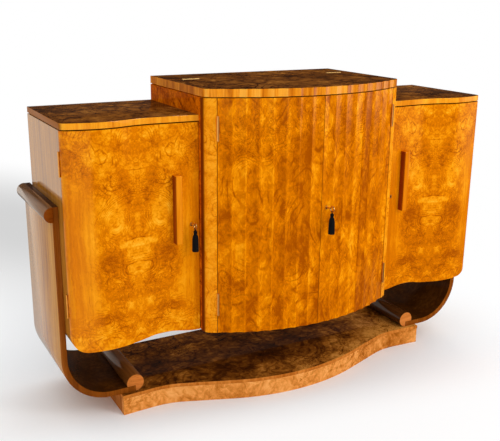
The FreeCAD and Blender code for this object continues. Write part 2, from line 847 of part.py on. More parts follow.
def tassel(key_x, key_z, face_depth):
    """The tassel and its loop, hanging from the lower limb of the key's ring."""
    depth = face_depth + key_stand_off + key_bow_radius - key_bow_thickness / 2
    limb = key_z - (key_bow_radius + key_bow_hole_radius) / 2
    loop = Part.makeTorus(
        tassel_loop_radius, tassel_loop_cord_radius, at(key_x, depth, limb), FreeCAD.Vector(0, 1, 0))
    top = limb - tassel_loop_radius
    neck = top - tassel_length * tassel_neck_share
    shoulder = top - tassel_length * tassel_skirt_start_share
    hem = top - tassel_length * (1 - tassel_hem_share)
    bottom = top - tassel_length

    def rim(radius, height):
        return at(key_x + radius, depth, height)

    head_middle = (top + neck) / 2
    axis_top = at(key_x, depth, top)
    axis_bottom = at(key_x, depth, bottom)
    edges = [
        arc(axis_top, rim(tassel_head_radius, head_middle), rim(tassel_neck_radius, neck)),
        line(rim(tassel_neck_radius, neck), rim(tassel_neck_radius, shoulder)),
        arc(rim(tassel_neck_radius, shoulder),
            rim((tassel_neck_radius + tassel_skirt_radius) / 2 + tassel_loop_cord_radius,
                (shoulder + hem) / 2),
            rim(tassel_skirt_radius, hem)),
        line(rim(tassel_skirt_radius, hem), rim(tassel_skirt_radius, bottom)),
        line(rim(tassel_skirt_radius, bottom), axis_bottom),
        line(axis_bottom, axis_top)]
    profile = Part.Face(Part.Wire(edges))
    body = profile.revolve(axis_top, FreeCAD.Vector(0, 0, 1), 360)
    return body.fuse(loop).removeSplitter()


# Centre

def centre_side(cuts):
    """The right side of the centre, with a lip that the lid and the rear strip lie on."""
    side = box(
        (inner_half_width, centre_half_width),
        (0, post_depth_start),
        (carcass_bottom, centre_top_underside))
    groove = box(
        (centre_half_width - shadow_groove, centre_half_width + overrun),
        (-overrun, post_depth_start + overrun),
        (centre_door_top, centre_top_underside + overrun))
    return cut_all(side.cut(groove), cuts)


def centre_post(recesses):
    """The right front post, with its rounded outer corner."""
    edges, end = post_front_path(post_inner_face)
    inner_front = bow_point(math.asin(post_inner_face / bow_radius), bow_radius)
    inner_rear = in_plan(post_inner_face, post_depth_start)
    outer_rear = in_plan(centre_half_width, post_depth_start)
    edges.append(line(in_plan(*end), outer_rear))
    edges.append(line(outer_rear, inner_rear))
    edges.append(line(inner_rear, inner_front))
    return cut_all(plan_prism(edges, carcass_bottom, centre_door_top), recesses)


def inner_board(low, high, front_radius):
    """A board between the centre's sides, with a bowed front edge cut round the posts."""
    board = box(
        (-inner_half_width, inner_half_width), (back_thickness, bow_depth), (low, high))
    board = board.common(bow_disc(front_radius, low, high))
    for sign in (-1, 1):
        room = box(
            (sign * post_inner_face, sign * (inner_half_width + overrun)),
            (post_depth_start, bow_depth), (low - overrun, high + overrun))
        board = board.cut(room)
    return board


def centre_floor():
    return inner_board(carcass_bottom, carcass_bottom + panel_thickness, frame_front_radius)


def centre_shelf():
    high = centre_shelf_height + shelf_thickness
    return inner_board(centre_shelf_height, high, frame_front_radius - centre_shelf_setback)


def well_floor():
    return inner_board(well_floor_top - well_board_thickness, well_floor_top, frame_front_radius)


def well_front():
    """The bowed panel that closes the front of the well behind the doors."""
    high = centre_door_top
    ring = bow_disc(frame_front_radius, well_floor_top, high)
    ring = ring.cut(bow_disc(frame_front_radius - well_board_thickness, well_floor_top, high))
    room = box((-post_inner_face, post_inner_face), (post_depth_start, bow_depth), (well_floor_top, high))
    return ring.common(room)


def centre_back():
    return box(
        (-inner_half_width, inner_half_width), (0, back_thickness),
        (carcass_bottom, centre_top_underside))


def rear_strip(recesses):
    strip = box(
        (-centre_half_width, centre_half_width),
        (0, rear_strip_depth - lid_joint / 2),
        (centre_top_underside, centre_height))
    return cut_all(strip, recesses)


def lid(recesses):
    """The lift-up lid, with the doors' flutes carried through its front edge."""
    edges, end = post_front_path(hinge_line)
    edges = flute_path() + edges
    edges.append(line(in_plan(*end), in_plan(centre_half_width, lid_rear_depth)))
    edges = both_halves(edges)
    edges.append(line(
        in_plan(centre_half_width, lid_rear_depth), in_plan(-centre_half_width, lid_rear_depth)))
    return cut_all(plan_prism(edges, lid_underside, centre_height), recesses)


def centre_door(cuts):
    """The right fluted door, bowed inside and out."""
    step_end = math.asin(hinge_line / bow_radius)
    edges = flute_path()
    edges.append(line(bow_point(step_end, bow_radius), bow_point(step_end, door_inner_radius)))
    edges.append(arc(
        bow_point(step_end, door_inner_radius),
        bow_point(step_end / 2, door_inner_radius),
        bow_point(0, door_inner_radius)))
    edges.append(line(bow_point(0, door_inner_radius), bow_point(0, bow_radius)))
    body = plan_prism(edges, carcass_bottom, centre_door_top)
    room = box(
        (centre_door_meeting_gap / 2, centre_door_edge),
        (carcass_depth, bow_depth + overrun), (carcass_bottom, centre_door_top))
    return cut_all(body.common(room), cuts)


# Lid stays

def stay_ring(inner, outer, x_low, x_high):
    """A ring about the lid's hinge line."""
    start = at(x_low, rear_strip_depth, centre_height)
    across = FreeCAD.Vector(1, 0, 0)
    ring = Part.makeCylinder(outer, x_high - x_low, start, across)
    return ring.cut(Part.makeCylinder(inner, x_high - x_low, start, across))


def stay_sector(first, last, x_low, x_high):
    """A wedge about the hinge line between two angles below the closed lid."""
    reach = stay_radius * 2
    origin = at(x_low, rear_strip_depth, centre_height)
    corners = [origin]
    steps = 3
    for index in range(steps + 1):
        angle = math.radians(first + (last - first) * index / steps)
        corners.append(at(
            x_low, rear_strip_depth + reach * math.cos(angle), centre_height - reach * math.sin(angle)))
    corners.append(origin)
    return Part.Face(Part.makePolygon(corners)).extrude(FreeCAD.Vector(x_high - x_low, 0, 0))


def stay_start_angle():
    """How far round the hinge line the stay leaves the lid's underside."""
    return math.degrees(math.asin((centre_height - lid_underside) / stay_radius))


def lid_stay():
    """The right stay: a quadrant about the hinge line, on a foot under the lid."""
    low = stay_place - stay_thickness / 2
    high = stay_place + stay_thickness / 2
    inner = stay_radius - stay_width / 2
    outer = stay_radius + stay_width / 2
    sweep = lid_open_angle + stay_engagement_angle
    ring = stay_ring(inner, outer, low, high)
    quadrant = ring.common(stay_sector(0, stay_start_angle() + sweep, low, high))
    quadrant = quadrant.cut(box(
        (low - overrun, high + overrun), (0, bow_depth), (lid_underside, centre_height + stay_radius)))
    foot_depth = rear_strip_depth + stay_radius * math.cos(math.radians(stay_start_angle()))
    foot = box(
        (stay_place - stay_foot_width / 2, stay_place + stay_foot_width / 2),
        (foot_depth - stay_foot_length / 2, foot_depth + stay_foot_length / 2),
        (lid_underside - stay_foot_thickness, lid_underside))
    return quadrant.fuse(foot).removeSplitter()


def stay_guide():
    """The right guide: a block on the centre's side, slotted for the stay."""
    angle = math.radians(stay_guide_angle)
    depth = rear_strip_depth + stay_radius * math.cos(angle)
    height = centre_height - stay_radius * math.sin(angle)
    low = stay_place - stay_thickness / 2 - stay_clearance
    high = stay_place + stay_thickness / 2 + stay_clearance
    block = box(
        (low - stay_guide_lip, inner_half_width),
        (depth - stay_guide_height / 2, depth + stay_guide_height / 2),
        (height - stay_guide_length / 2, height + stay_guide_length / 2))
    inner = stay_radius - stay_width / 2 - stay_clearance
    outer = stay_radius + stay_width / 2 + stay_clearance
    return block.cut(stay_ring(inner, outer, low, high))


# Writing the pieces

def save(name, pieces):
    """One file per named sub-component."""
    if not isinstance(pieces, list):
        pieces = [pieces]
    solids = []
    for piece in pieces:
        solids.extend(piece.Solids)
    shape = solids[0] if len(solids) == 1 else Part.makeCompound(solids)
    shape.exportStep("parts/" + name + ".step")
    print(name, len(solids), "solids", round(shape.Volume / 1000, 2), "cm3")


def save_plinth():
    save("plinth_top_board", plinth_top_board())
    save("plinth_front_apron", plinth_front_apron())
    save("plinth_ends", plinth_ends())
    save("plinth_back_rail", plinth_back_rail())
    save("plinth_cross_rails", plinth_cross_rails())


def save_side_cupboards(hinges):
    """Both side cupboards, with their cradle panels, rods and door fittings."""
    fixed, fixed_recesses, moving, moving_recesses = hinges
    edge = centre_half_width + side_door_centre_clearance
    lock_box = box(
        (edge, edge + lock_case_width),
        (side_door_back, side_door_back + lock_case_depth),
        (side_key_height - lock_case_height / 2, side_key_height + lock_case_height / 2))
    hole = keyhole(side_key_place, side_key_height, 0, side_door_back, bow_depth)
    plain_door = side_door(moving_recesses + [lock_box])
    face = side_front_depth
    lining = escutcheon(plain_door, side_key_place, side_key_height, face)
    door = cut_all(plain_door, [hole, lining])
    case = lock_case(edge, side_door_back, side_key_place, side_key_height)
    bolt = lock_bolt(edge, side_door_back, side_key_height)
    pieces = {
        "cradle_panel": cradle_panel(),
        "upper_rod": upper_rod(),
        "lower_rod": lower_rod(),
        "outer_side": outer_side(fixed_recesses),
        "floor": side_floor(),
        "shelf": side_shelf(),
        "top": side_top(),
        "door": door,
        "handle": side_handle(plain_door),
        "lock_case": case,
        "bolt": bolt,
        "escutcheon": lining}
    for name, sign in LEFT_RIGHT:
        for piece, shape in pieces.items():
            save(name + "_" + piece, on_side(shape, sign))
        save(name + "_door_hinge_leaves", [on_side(piece, sign) for piece in moving])
    back = side_back()
    save("side_backs", [back, flipped(back)])
    left_key = key(-side_key_place, side_key_height, side_door_back, face)
    save("left_key", left_key)
    save("left_tassel", tassel(-side_key_place, side_key_height, face))


def save_centre(hinges):
    """The centre's carcass and doors."""
    fixed, fixed_recesses, moving, moving_recesses = hinges
    side_keeper = keeper(centre_half_width, side_door_back, side_key_height)
    side = centre_side([side_keeper])
    post = centre_post(fixed_recesses)
    door = centre_door(moving_recesses)
    for name, sign in LEFT_RIGHT:
        save("centre_" + name + "_side", on_side(side, sign))
        save("centre_" + name + "_post", on_side(post, sign))
        save("centre_" + name + "_hinge_leaves", [on_side(piece, sign) for piece in moving])
    save("centre_floor", centre_floor())
    save("centre_shelf", centre_shelf())
    save("well_floor", well_floor())
    save("well_front", well_front())
    save("centre_back", centre_back())
    edge = centre_door_meeting_gap / 2
    near = bow_centre_depth + math.sqrt(door_inner_radius ** 2 - (edge + lock_case_width) ** 2)
    lock_box = box(
        (edge, edge + lock_case_width), (near, near + lock_case_depth),
        (centre_key_height - lock_case_height / 2, centre_key_height + lock_case_height / 2))
    plain_door = door.cut(lock_box)
    lining = escutcheon(plain_door, centre_key_place, centre_key_height, bow_depth - flute_depth)
    hole = keyhole(centre_key_place, centre_key_height, 0, near, bow_depth + overrun)
    save("centre_right_door", cut_all(plain_door, [hole, lining]))
    save("centre_left_door", flipped(door).cut(keeper(-edge, near, centre_key_height)))
    save("centre_lock_case", lock_case(edge, near, centre_key_place, centre_key_height))
    save("centre_bolt", lock_bolt(edge, near, centre_key_height))
    save("centre_escutcheon", lining)
    save("centre_key", key(centre_key_place, centre_key_height, near, bow_depth))
    save("centre_tassel", tassel(centre_key_place, centre_key_height, bow_depth))


def save_lid():
    """The rear strip, the lid, their hinges and the stays."""
    fixed, fixed_recesses, moving, moving_recesses = lid_hinges()
    stay = lid_stay()
    guide = stay_guide()
    save("rear_top_strip", rear_strip(fixed_recesses))
    save("lid", lid(moving_recesses))
    save("strip_hinge_leaves", fixed)
    save("lid_hinge_leaves", moving)
    save("lid_stays", [stay, flipped(stay)])
    save("stay_guides", [guide, flipped(guide)])


def main():
    os.makedirs("parts", exist_ok=True)
    side_hinges = side_door_hinges()
    centre_hinges = centre_door_hinges()
    frame_leaves = side_hinges[0] + centre_hinges[0]
    save_plinth()
    save_side_cupboards(side_hinges)
    save_centre(centre_hinges)
    save_lid()
    save("frame_hinge_leaves", frame_leaves + [flipped(piece) for piece in frame_leaves])


main()
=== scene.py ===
import bmesh
import bpy
import math
from mathutils import Matrix, Vector


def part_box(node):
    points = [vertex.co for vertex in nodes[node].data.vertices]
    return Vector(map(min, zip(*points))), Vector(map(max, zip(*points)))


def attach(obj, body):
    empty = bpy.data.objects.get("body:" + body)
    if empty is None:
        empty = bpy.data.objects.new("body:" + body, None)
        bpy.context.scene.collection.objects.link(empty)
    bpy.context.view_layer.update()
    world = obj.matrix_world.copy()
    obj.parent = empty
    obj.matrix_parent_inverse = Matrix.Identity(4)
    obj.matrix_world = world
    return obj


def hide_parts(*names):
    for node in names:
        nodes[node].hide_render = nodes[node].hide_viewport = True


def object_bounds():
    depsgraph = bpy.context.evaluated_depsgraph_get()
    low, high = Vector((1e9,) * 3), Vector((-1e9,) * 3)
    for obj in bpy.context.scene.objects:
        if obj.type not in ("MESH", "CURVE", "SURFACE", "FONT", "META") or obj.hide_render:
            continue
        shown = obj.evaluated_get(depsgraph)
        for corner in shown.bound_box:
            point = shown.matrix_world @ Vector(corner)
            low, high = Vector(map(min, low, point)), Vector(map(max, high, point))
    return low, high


# A walnut bar cabinet of about the 1930s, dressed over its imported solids.
# Metres, X to the right, Z up; the front looks along -Y.

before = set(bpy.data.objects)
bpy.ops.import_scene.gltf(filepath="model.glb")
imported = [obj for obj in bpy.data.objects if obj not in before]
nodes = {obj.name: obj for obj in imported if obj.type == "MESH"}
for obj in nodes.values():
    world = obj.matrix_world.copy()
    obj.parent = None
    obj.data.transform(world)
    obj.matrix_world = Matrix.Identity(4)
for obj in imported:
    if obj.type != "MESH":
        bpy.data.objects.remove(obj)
packed_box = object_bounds()


# The studio: a pale floor that runs back out of sight, even light from all round, a large soft
# lamp from the right of the front, and a smaller one from the left that wakes up the polish.
# The polish mirrors a bright left side, a dim ceiling and one bright wall on the right.
camera_place = Vector((-1.36954, -2.28151, 1.35081))
camera_turn = math.radians(28.73)
camera_dip = math.radians(-16.17)
camera_roll = math.radians(0.57)
ahead = Vector((
    math.sin(camera_turn) * math.cos(camera_dip),
    math.cos(camera_turn) * math.cos(camera_dip),
    math.sin(camera_dip)))
level = Vector((math.cos(camera_turn), -math.sin(camera_turn), 0))
upward = level.cross(ahead)
right_edge = math.cos(camera_roll) * level + math.sin(camera_roll) * upward
top_edge = math.cos(camera_roll) * upward - math.sin(camera_roll) * level
lens = bpy.data.cameras.new("camera")
lens.sensor_width = 36
lens.sensor_fit = "HORIZONTAL"
lens.lens = 55.73
camera = bpy.data.objects.new("camera", lens)
camera.matrix_world = Matrix.Translation(camera_place) @ Matrix(
    (right_edge, top_edge, -ahead)).transposed().to_4x4()
bpy.context.scene.collection.objects.link(camera)
bpy.context.scene.camera = camera
bpy.context.scene.view_settings.view_transform = "Standard"


def step(finish, kind, inputs, output=0, **settings):
    """Adds one node to a finish and gives back its output."""
    node = finish.node_tree.nodes.new("ShaderNode" + kind)
    for name, value in settings.items():
        setattr(node, name, value)
    for place, value in inputs.items():
        if isinstance(value, bpy.types.NodeSocket):
            finish.node_tree.links.new(value, node.inputs[place])
        else:
            node.inputs[place].default_value = value
    return node.outputs[output]


def new_finish(name):
    """An empty material, to be built up step by step."""
    finish = bpy.data.materials.new(name)
    finish.use_nodes = True
    finish.node_tree.nodes.clear()
    return finish


def sums(finish, operation, first, second=0.0, third=0.0):
    """One sum on plain values."""
    return step(finish, "Math", {0: first, 1: second, 2: third}, operation=operation)


def graded(finish, value, start, end, low=0.0, high=1.0, smooth=False):
    """Low where the value is at start, high where it is at end, and graded between."""
    return step(finish, "MapRange", {
        "Value": value, "From Min": start, "From Max": end, "To Min": low, "To Max": high},
        interpolation_type="SMOOTHSTEP" if smooth else "LINEAR")


def either(finish, share, first, second):
    """The first colour where the share is 0, the second where it is 1."""
    return step(finish, "MixRGB", {"Fac": share, "Color1": first, "Color2": second})


def along_axis(finish, place, axis):
    """How far a place lies along X, Y or Z."""
    return step(finish, "SeparateXYZ", {0: place}, output=axis)


def toward(finish, place, direction):
    """How far a place lies in a direction."""
    return step(finish, "VectorMath", {0: place, 1: direction}, output="Value",
                operation="DOT_PRODUCT")


def from_middle(finish, place, middle, stretch):
    """The distance from a middle, stretched along each axis by its own factor."""
    place = step(finish, "VectorMath", {0: place, 1: middle}, operation="SUBTRACT")
    place = step(finish, "VectorMath", {0: place, 1: stretch}, operation="MULTIPLY")
    return step(finish, "VectorMath", {0: place}, output="Value", operation="LENGTH")


def rays(finish):
    """Three values, each 1 on rays from the camera, from a gloss and through glass."""
    return [
        step(finish, "LightPath", {}, output="Is " + kind + " Ray")
        for kind in ("Camera", "Glossy", "Transmission")]


bright_wall = (0.90, -0.43, 0)
plain_white = (1, 1, 1, 1)
warm_white = (1, 0.93, 0.84, 1)
world = bpy.data.worlds.new("studio")
world.use_nodes = True
world.node_tree.nodes.clear()
seen, mirrored, through = rays(world)
direction = step(world, "TexCoord", {}, output="Generated")
aside = along_axis(world, direction, "X")
overhead = along_axis(world, direction, "Z")
lit = graded(world, overhead, 0.0, 1.0, 0.66, 1.36)
lit = sums(world, "MULTIPLY", lit, graded(world, aside, -0.8, 0.3, 0.62, 1.0))
left = graded(world, aside, 0.0, -0.4, 0.06, 1.0)
ceiling = graded(world, overhead, 0.3, 0.9, 0.0, 0.45)
wall = graded(world, toward(world, direction, bright_wall), 0.90, 0.97)
sheen = sums(world, "MAXIMUM", sums(world, "MAXIMUM", left, ceiling), wall)
strength = step(world, "Mix", {"Factor": mirrored, "A": lit, "B": sheen})
strength = step(world, "Mix", {
    "Factor": sums(world, "MAXIMUM", seen, through), "A": strength, "B": 1.0})
light_colour = either(world, mirrored, plain_white, warm_white)
sky = step(world, "Background", {"Color": light_colour, "Strength": strength})
world_end = world.node_tree.nodes.new("ShaderNodeOutputWorld")
world.node_tree.links.new(sky, world_end.inputs["Surface"])
bpy.context.scene.world = world

paper = new_finish("floor_paper")
place = step(paper, "TexCoord", {}, output="Object")
reach = step(paper, "VectorMath", {0: place}, output="Value", operation="LENGTH")
# In front of the cabinet the floor glows: painted light that lifts part of the cabinet's shadow
# there.
before = toward(paper, place, (-0.20, -1.0, 0))
far_away = sums(
    paper, "MAXIMUM", graded(paper, reach, 0.85, 1.7, smooth=True),
    graded(paper, before, 0.13, 0.46, 0.0, 0.78, smooth=True))
seen, mirrored, through = rays(paper)
shown = sums(paper, "MAXIMUM", sums(paper, "MAXIMUM", seen, mirrored), through)
fibre = step(paper, "TexNoise", {"Vector": place, "Scale": 60.0, "Detail": 3.0}, output="Fac")
tone = either(paper, fibre, (0.93, 0.955, 0.975, 1), (0.95, 0.975, 0.995, 1))
# As the polish mirrors it, the floor is a painted reflection: dim, but bright on the left and far
# off towards a wall on the right.
left = graded(paper, along_axis(paper, place, "X"), -0.5, -0.95, 0.08, 1.0)
heading = step(paper, "VectorMath", {0: place}, operation="NORMALIZE")
wall = graded(paper, toward(paper, heading, bright_wall), 0.90, 0.97)
wall = sums(paper, "MULTIPLY", wall, graded(paper, reach, 2.6, 6.0))
shade = step(paper, "Mix", {
    "Factor": mirrored, "A": 1.0, "B": sums(paper, "MAXIMUM", left, wall)})
# A painted shade darkens the floor on the left behind the cabinet.
painted_shade_dip = from_middle(paper, place, (-0.45, 2.4, 0), (1.1, 0.45, 1.0))
shade = sums(paper, "MULTIPLY", shade, graded(paper, painted_shade_dip, 0.1, 1.0, 0.66, 1.0, smooth=True))
tone = step(paper, "VectorMath", {0: tone, "Scale": shade}, operation="SCALE")
matt = step(paper, "BsdfDiffuse", {"Color": tone})
light_colour = either(paper, mirrored, plain_white, warm_white)
glow = step(paper, "Emission", {"Color": light_colour, "Strength": shade})
mixed = step(paper, "MixShader", {0: sums(paper, "MULTIPLY", shown, far_away), 1: matt, 2: glow})
paper_end = paper.node_tree.nodes.new("ShaderNodeOutputMaterial")
paper.node_tree.links.new(mixed, paper_end.inputs["Surface"])

floor_mesh = bpy.data.meshes.new("floor")
bm = bmesh.new()
bmesh.ops.create_grid(bm, x_segments=8, y_segments=8, size=30)
bm.to_mesh(floor_mesh)
bm.free()
floor = bpy.data.objects.new("floor", floor_mesh)
bpy.context.scene.collection.objects.link(floor)
floor_mesh.materials.append(paper)


def lamp(name, place, target, size, power):
    """A square soft lamp that shines from a place at a target."""
    light = bpy.data.lights.new(name, "AREA")
    light.size = size
    light.energy = power
    holder = bpy.data.objects.new(name, light)
    aim = (Vector(target) - Vector(place)).to_track_quat("-Z", "Y")
    holder.matrix_world = Matrix.Translation(place) @ aim.to_matrix().to_4x4()
    bpy.context.scene.collection.objects.link(holder)


lamp("front_lamp", place=(1.6, -3.0, 2.4), target=(0, 0, 0.5), size=1.2, power=32)
lamp("left_lamp", place=(-3.2, -0.9, 1.7), target=(-0.6, 0, 0.5), size=1.2, power=3)


# The plinth: a serpentine top board over veneered aprons, set back a little under the board so
# that a dark line shows. Burr veneer on ply above, cross-grained edges, softwood rails behind.
# Depths run forward from the flat rear of the cupboards; plinth and cradle reach behind it.
FOOT_OVERHANG = 0.034
REAR = packed_box[1][1] - FOOT_OVERHANG


def tones(finish, value, stops):
    """A run of colours from dark to light."""
    node = finish.node_tree.nodes.new("ShaderNodeValToRGB")
    ramp = node.color_ramp
    while len(ramp.elements) < len(stops):
        ramp.elements.new(0.5)
    for element, (position, colour) in zip(ramp.elements, stops):
        element.position = position
        element.color = (*colour, 1)
    finish.node_tree.links.new(value, node.inputs[0])
    return node.outputs[0]


def polished(finish, colour, relief, coat_ior=1.15, coat=1.0, coat_rough=0.04, rough=0.35,
             level=0.0):
    """Closes a finish with the maker's polish over its colour; relief is the open grain."""
    bump = step(finish, "Bump", {"Strength": 0.05, "Distance": 0.0003, "Height": relief})
    dull = graded(finish, relief, 0.0, 1.0, rough - 0.06, rough + 0.06)
    shader = finish.node_tree.nodes.new("ShaderNodeBsdfPrincipled")
    for place, value in (("Base Color", colour), ("Roughness", dull), ("Normal", bump)):
        finish.node_tree.links.new(value, shader.inputs[place])
    if isinstance(coat, bpy.types.NodeSocket):
        finish.node_tree.links.new(coat, shader.inputs["Coat Weight"])
    else:
        shader.inputs["Coat Weight"].default_value = coat
    shader.inputs["Coat Roughness"].default_value = coat_rough
    shader.inputs["Coat IOR"].default_value = coat_ior
    shader.inputs["Specular IOR Level"].default_value = level
    end = finish.node_tree.nodes.new("ShaderNodeOutputMaterial")
    finish.node_tree.links.new(shader.outputs[0], end.inputs["Surface"])
    return shader


def warped(finish, place, size, amount):
    """The place, pushed about by slow noise."""
    push = step(finish, "TexNoise", {"Vector": place, "Scale": size, "Detail": 2.0}, output="Color")
    push = step(finish, "VectorMath", {0: push, 1: (0.5, 0.5, 0.5)}, operation="SUBTRACT")
    push = step(finish, "VectorMath", {0: push, "Scale": amount}, operation="SCALE")
    return step(finish, "VectorMath", {0: place, 1: push}, operation="ADD")


def cloud(finish, place, size, detail=3.0, bend=0.0):
    """Noise about zero."""
    noise = step(finish, "TexNoise", {
        "Vector": place, "Scale": size, "Detail": detail, "Roughness": 0.6,
        "Distortion": bend}, output="Fac")
    return sums(finish, "SUBTRACT", noise, 0.5)


def drawn_out(finish, place, along, across_scale, along_scale):
    """The place, scaled so that noise on it runs out along the grain."""
    stretch = [across_scale] * 3
    stretch["XYZ".index(along)] = along_scale
    return step(finish, "VectorMath", {0: place, 1: stretch}, operation="MULTIPLY")


def straight_tone(finish, place, along, swirl=0.03, middle=0.5):
    """Straight-grained walnut: its tone, and its fine grain for the relief."""
    bent = warped(finish, place, 2.4, swirl)
    bands = cloud(finish, drawn_out(finish, bent, along, 11.0, 0.8), 1.0, 3.0, 0.6)
    lines = cloud(finish, drawn_out(finish, bent, along, 75.0, 2.6), 1.0, 5.0, 0.3)
    pores = cloud(finish, drawn_out(finish, bent, along, 420.0, 14.0), 1.0, 2.0)
    tone = sums(finish, "MULTIPLY_ADD", lines, 0.75, middle)
    tone = sums(finish, "MULTIPLY_ADD", bands, 0.75, tone)
    pits = graded(finish, pores, -0.17, -0.08, 0.14, 0.0)
    return sums(finish, "SUBTRACT", tone, pits), sums(finish, "ADD", lines, 0.5)


def thin_lines(finish, height, spacing, width):
    """Dark contour lines of a height, 1 on each line and 0 between."""
    wave = sums(finish, "PINGPONG", sums(finish, "MULTIPLY", height, 1 / spacing), 0.5)
    return graded(finish, wave, 0.0, width, 1.0, 0.0, smooth=True)


def burr_tone(finish, place, middle, height=None, cluster=None, size=1.0, line=-0.33):
    """Burr walnut: contour lines that come and go, mottle, and clusters of curled pips."""
    bent = warped(finish, place, 6.0 * size, 0.05 / size)
    bent = warped(finish, bent, 26.0 * size, 0.014 / size)
    slow = cloud(finish, bent, 5.0 * size, 1.0)
    height = slow if height is None else sums(finish, "ADD", slow, height)
    fade = graded(finish, cloud(finish, place, 16.0 * size, 2.0), -0.08, 0.12)
    if cluster is None:
        cluster = graded(finish, cloud(finish, bent, 7.0 * size, 2.0), 0.02, 0.16)
    lobes = step(finish, "TexVoronoi", {
        "Vector": bent, "Scale": 24.0 * size, "Smoothness": 0.35},
        output="Distance", feature="SMOOTH_F1")
    rims = step(finish, "TexVoronoi", {
        "Vector": bent, "Scale": 24.0 * size}, output="Distance", feature="DISTANCE_TO_EDGE")
    mottle = cloud(finish, bent, 34.0 * size, 3.0, 1.5)
    grit = cloud(finish, bent, 95.0 * size, 3.0, 1.0)
    lines = sums(finish, "MULTIPLY", thin_lines(finish, height, 0.055, 0.20), fade)
    curls = thin_lines(finish, cloud(finish, bent, 58.0 * size, 1.0, 1.6), 0.17, 0.20)
    pips = graded(finish, cloud(finish, bent, 110.0 * size, 2.0, 1.0), 0.06, 0.20)
    tone = sums(finish, "MULTIPLY_ADD", cloud(finish, bent, 8.0 * size, 3.0), 0.85, middle)
    tone = sums(finish, "MULTIPLY_ADD", lobes, -0.36, sums(finish, "ADD", tone, 0.16))
    tone = sums(finish, "MULTIPLY_ADD", graded(finish, rims, 0.0, 0.06, -0.14, 0.0), fade, tone)
    tone = sums(finish, "MULTIPLY_ADD", mottle, 0.60, tone)
    tone = sums(finish, "MULTIPLY_ADD", grit, 0.88, tone)
    tone = sums(finish, "MULTIPLY_ADD", lines, line, tone)
    tone = sums(finish, "MULTIPLY_ADD", sums(finish, "MULTIPLY", curls, cluster), -0.34, tone)
    tone = sums(finish, "MULTIPLY_ADD", sums(finish, "MULTIPLY", pips, cluster), -0.14, tone)
    return tone, sums(finish, "ADD", mottle, 0.5)


def dress(finish, *names):
    """Gives CAD pieces their finish."""
    for name in names:
        for slot in nodes[name].material_slots:
            slot.material = finish


def straight_finish(name, along, stops, swirl=0.03, **polish):
    """A polished finish of straight-grained walnut or deal."""
    finish = new_finish(name)
    place = step(finish, "TexCoord", {}, output="Object")
    tone, relief = straight_tone(finish, place, along, swirl)
    polished(finish, tones(finish, tone, stops), relief, **polish)
    return finish


plinth_top_finish = finish = new_finish("plinth_burr")
place = step(finish, "TexCoord", {}, output="Object")
swirl = from_middle(finish, place, (-0.06, -0.09, 0), (1.3, 2.6, 1.0))
figure, relief = burr_tone(finish, place, 0.40, swirl, size=0.4, line=-0.12)
# Painted light and shade: the board is lighter along its front edge and towards the right, and
# darker behind, where the cupboards shade it.
across = along_axis(finish, place, "X")
front_line = sums(finish, "MULTIPLY", sums(finish, "MULTIPLY", across, across), -0.33)
behind = sums(finish, "ADD", along_axis(finish, place, "Y"), front_line)
behind = sums(finish, "ADD", behind, 0.178)
painted_front_light = graded(finish, behind, 0.02, 0.16, 0.22, 0.0)
painted_right_sheen = graded(finish, across, 0.1, 0.5, 0.0, 0.30)
figure = sums(finish, "ADD", figure, sums(finish, "ADD", painted_front_light, painted_right_sheen))
polished(finish, tones(finish, figure, [
    (0.05, (0.022, 0.005, 0.001)),
    (0.30, (0.080, 0.020, 0.002)),
    (0.50, (0.200, 0.060, 0.006)),
    (0.68, (0.380, 0.130, 0.015)),
    (0.90, (0.620, 0.260, 0.045))]), relief, coat_ior=1.25, coat=0.6)
plinth_edge_finish = straight_finish("plinth_edge_walnut", "Z", [
    (0.10, (0.30, 0.065, 0.003)),
    (0.35, (0.46, 0.125, 0.012)),
    (0.50, (0.60, 0.185, 0.025)),
    (0.65, (0.72, 0.25, 0.04)),
    (0.85, (0.84, 0.34, 0.07))], 0.14, coat_ior=1.2)
finish = new_finish("plinth_face_walnut")
place = step(finish, "TexCoord", {}, output="Object")
figure, relief = burr_tone(finish, place, 0.0, size=0.6, line=-0.22)
across = along_axis(finish, place, "X")
figure = sums(finish, "ADD", figure, graded(finish, across, 0.1, 0.5, 0.68, 0.46))
polished(finish, tones(finish, figure, [
    (0.05, (0.24, 0.050, 0.003)),
    (0.30, (0.50, 0.145, 0.014)),
    (0.50, (0.70, 0.240, 0.038)),
    (0.68, (0.88, 0.34, 0.07)),
    (0.90, (1.00, 0.46, 0.13))]), relief, coat_ior=1.2)
dress(finish, "plinth_front_apron")
deal_finish = straight_finish("rail_deal", "X", [
    (0.2, (0.16, 0.07, 0.03)),
    (0.5, (0.26, 0.12, 0.05)),
    (0.8, (0.36, 0.18, 0.08))], coat=0.0, level=0.2, rough=0.6)
dress(plinth_edge_finish, "plinth_ends")
dress(deal_finish, "plinth_back_rail", "plinth_cross_rails")


def begun(bm, place):
    """Puts down the first point of an outline."""
    return bmesh.ops.create_vert(bm, co=place)["vert"][0]


def drawn_run(bm, point, offset):
    """Carries an outline on by a straight line."""
    end = bmesh.ops.extrude_vert_indiv(bm, verts=[point])["verts"][0]
    bmesh.ops.translate(bm, verts=[end], vec=offset)
    return end


def drawn_bend(bm, point, centre, angle, steps):
    """Carries an outline on by an arc."""
    turn = bmesh.ops.spin(bm, geom=[point], cent=centre, axis=(0, 0, 1), angle=angle, steps=steps)
    return turn["geom_last"][0]


def traced(bm, start, heading, moves):
    """Draws straight runs and tangent bends; a bend is (radius, degrees), a run is (length,)."""
    point = begun(bm, start)
    for move in moves:
        if len(move) == 1:
            offset = (move[0] * math.cos(heading), move[0] * math.sin(heading), 0)
            point = drawn_run(bm, point, offset)
            continue
        turn = math.radians(move[1])
        radius = math.copysign(move[0], turn)
        centre = point.co + Vector((-math.sin(heading), math.cos(heading), 0)) * radius
        point = drawn_bend(bm, point, centre, turn, max(2, round(abs(move[1]) / 3)))
        heading += turn
    return point


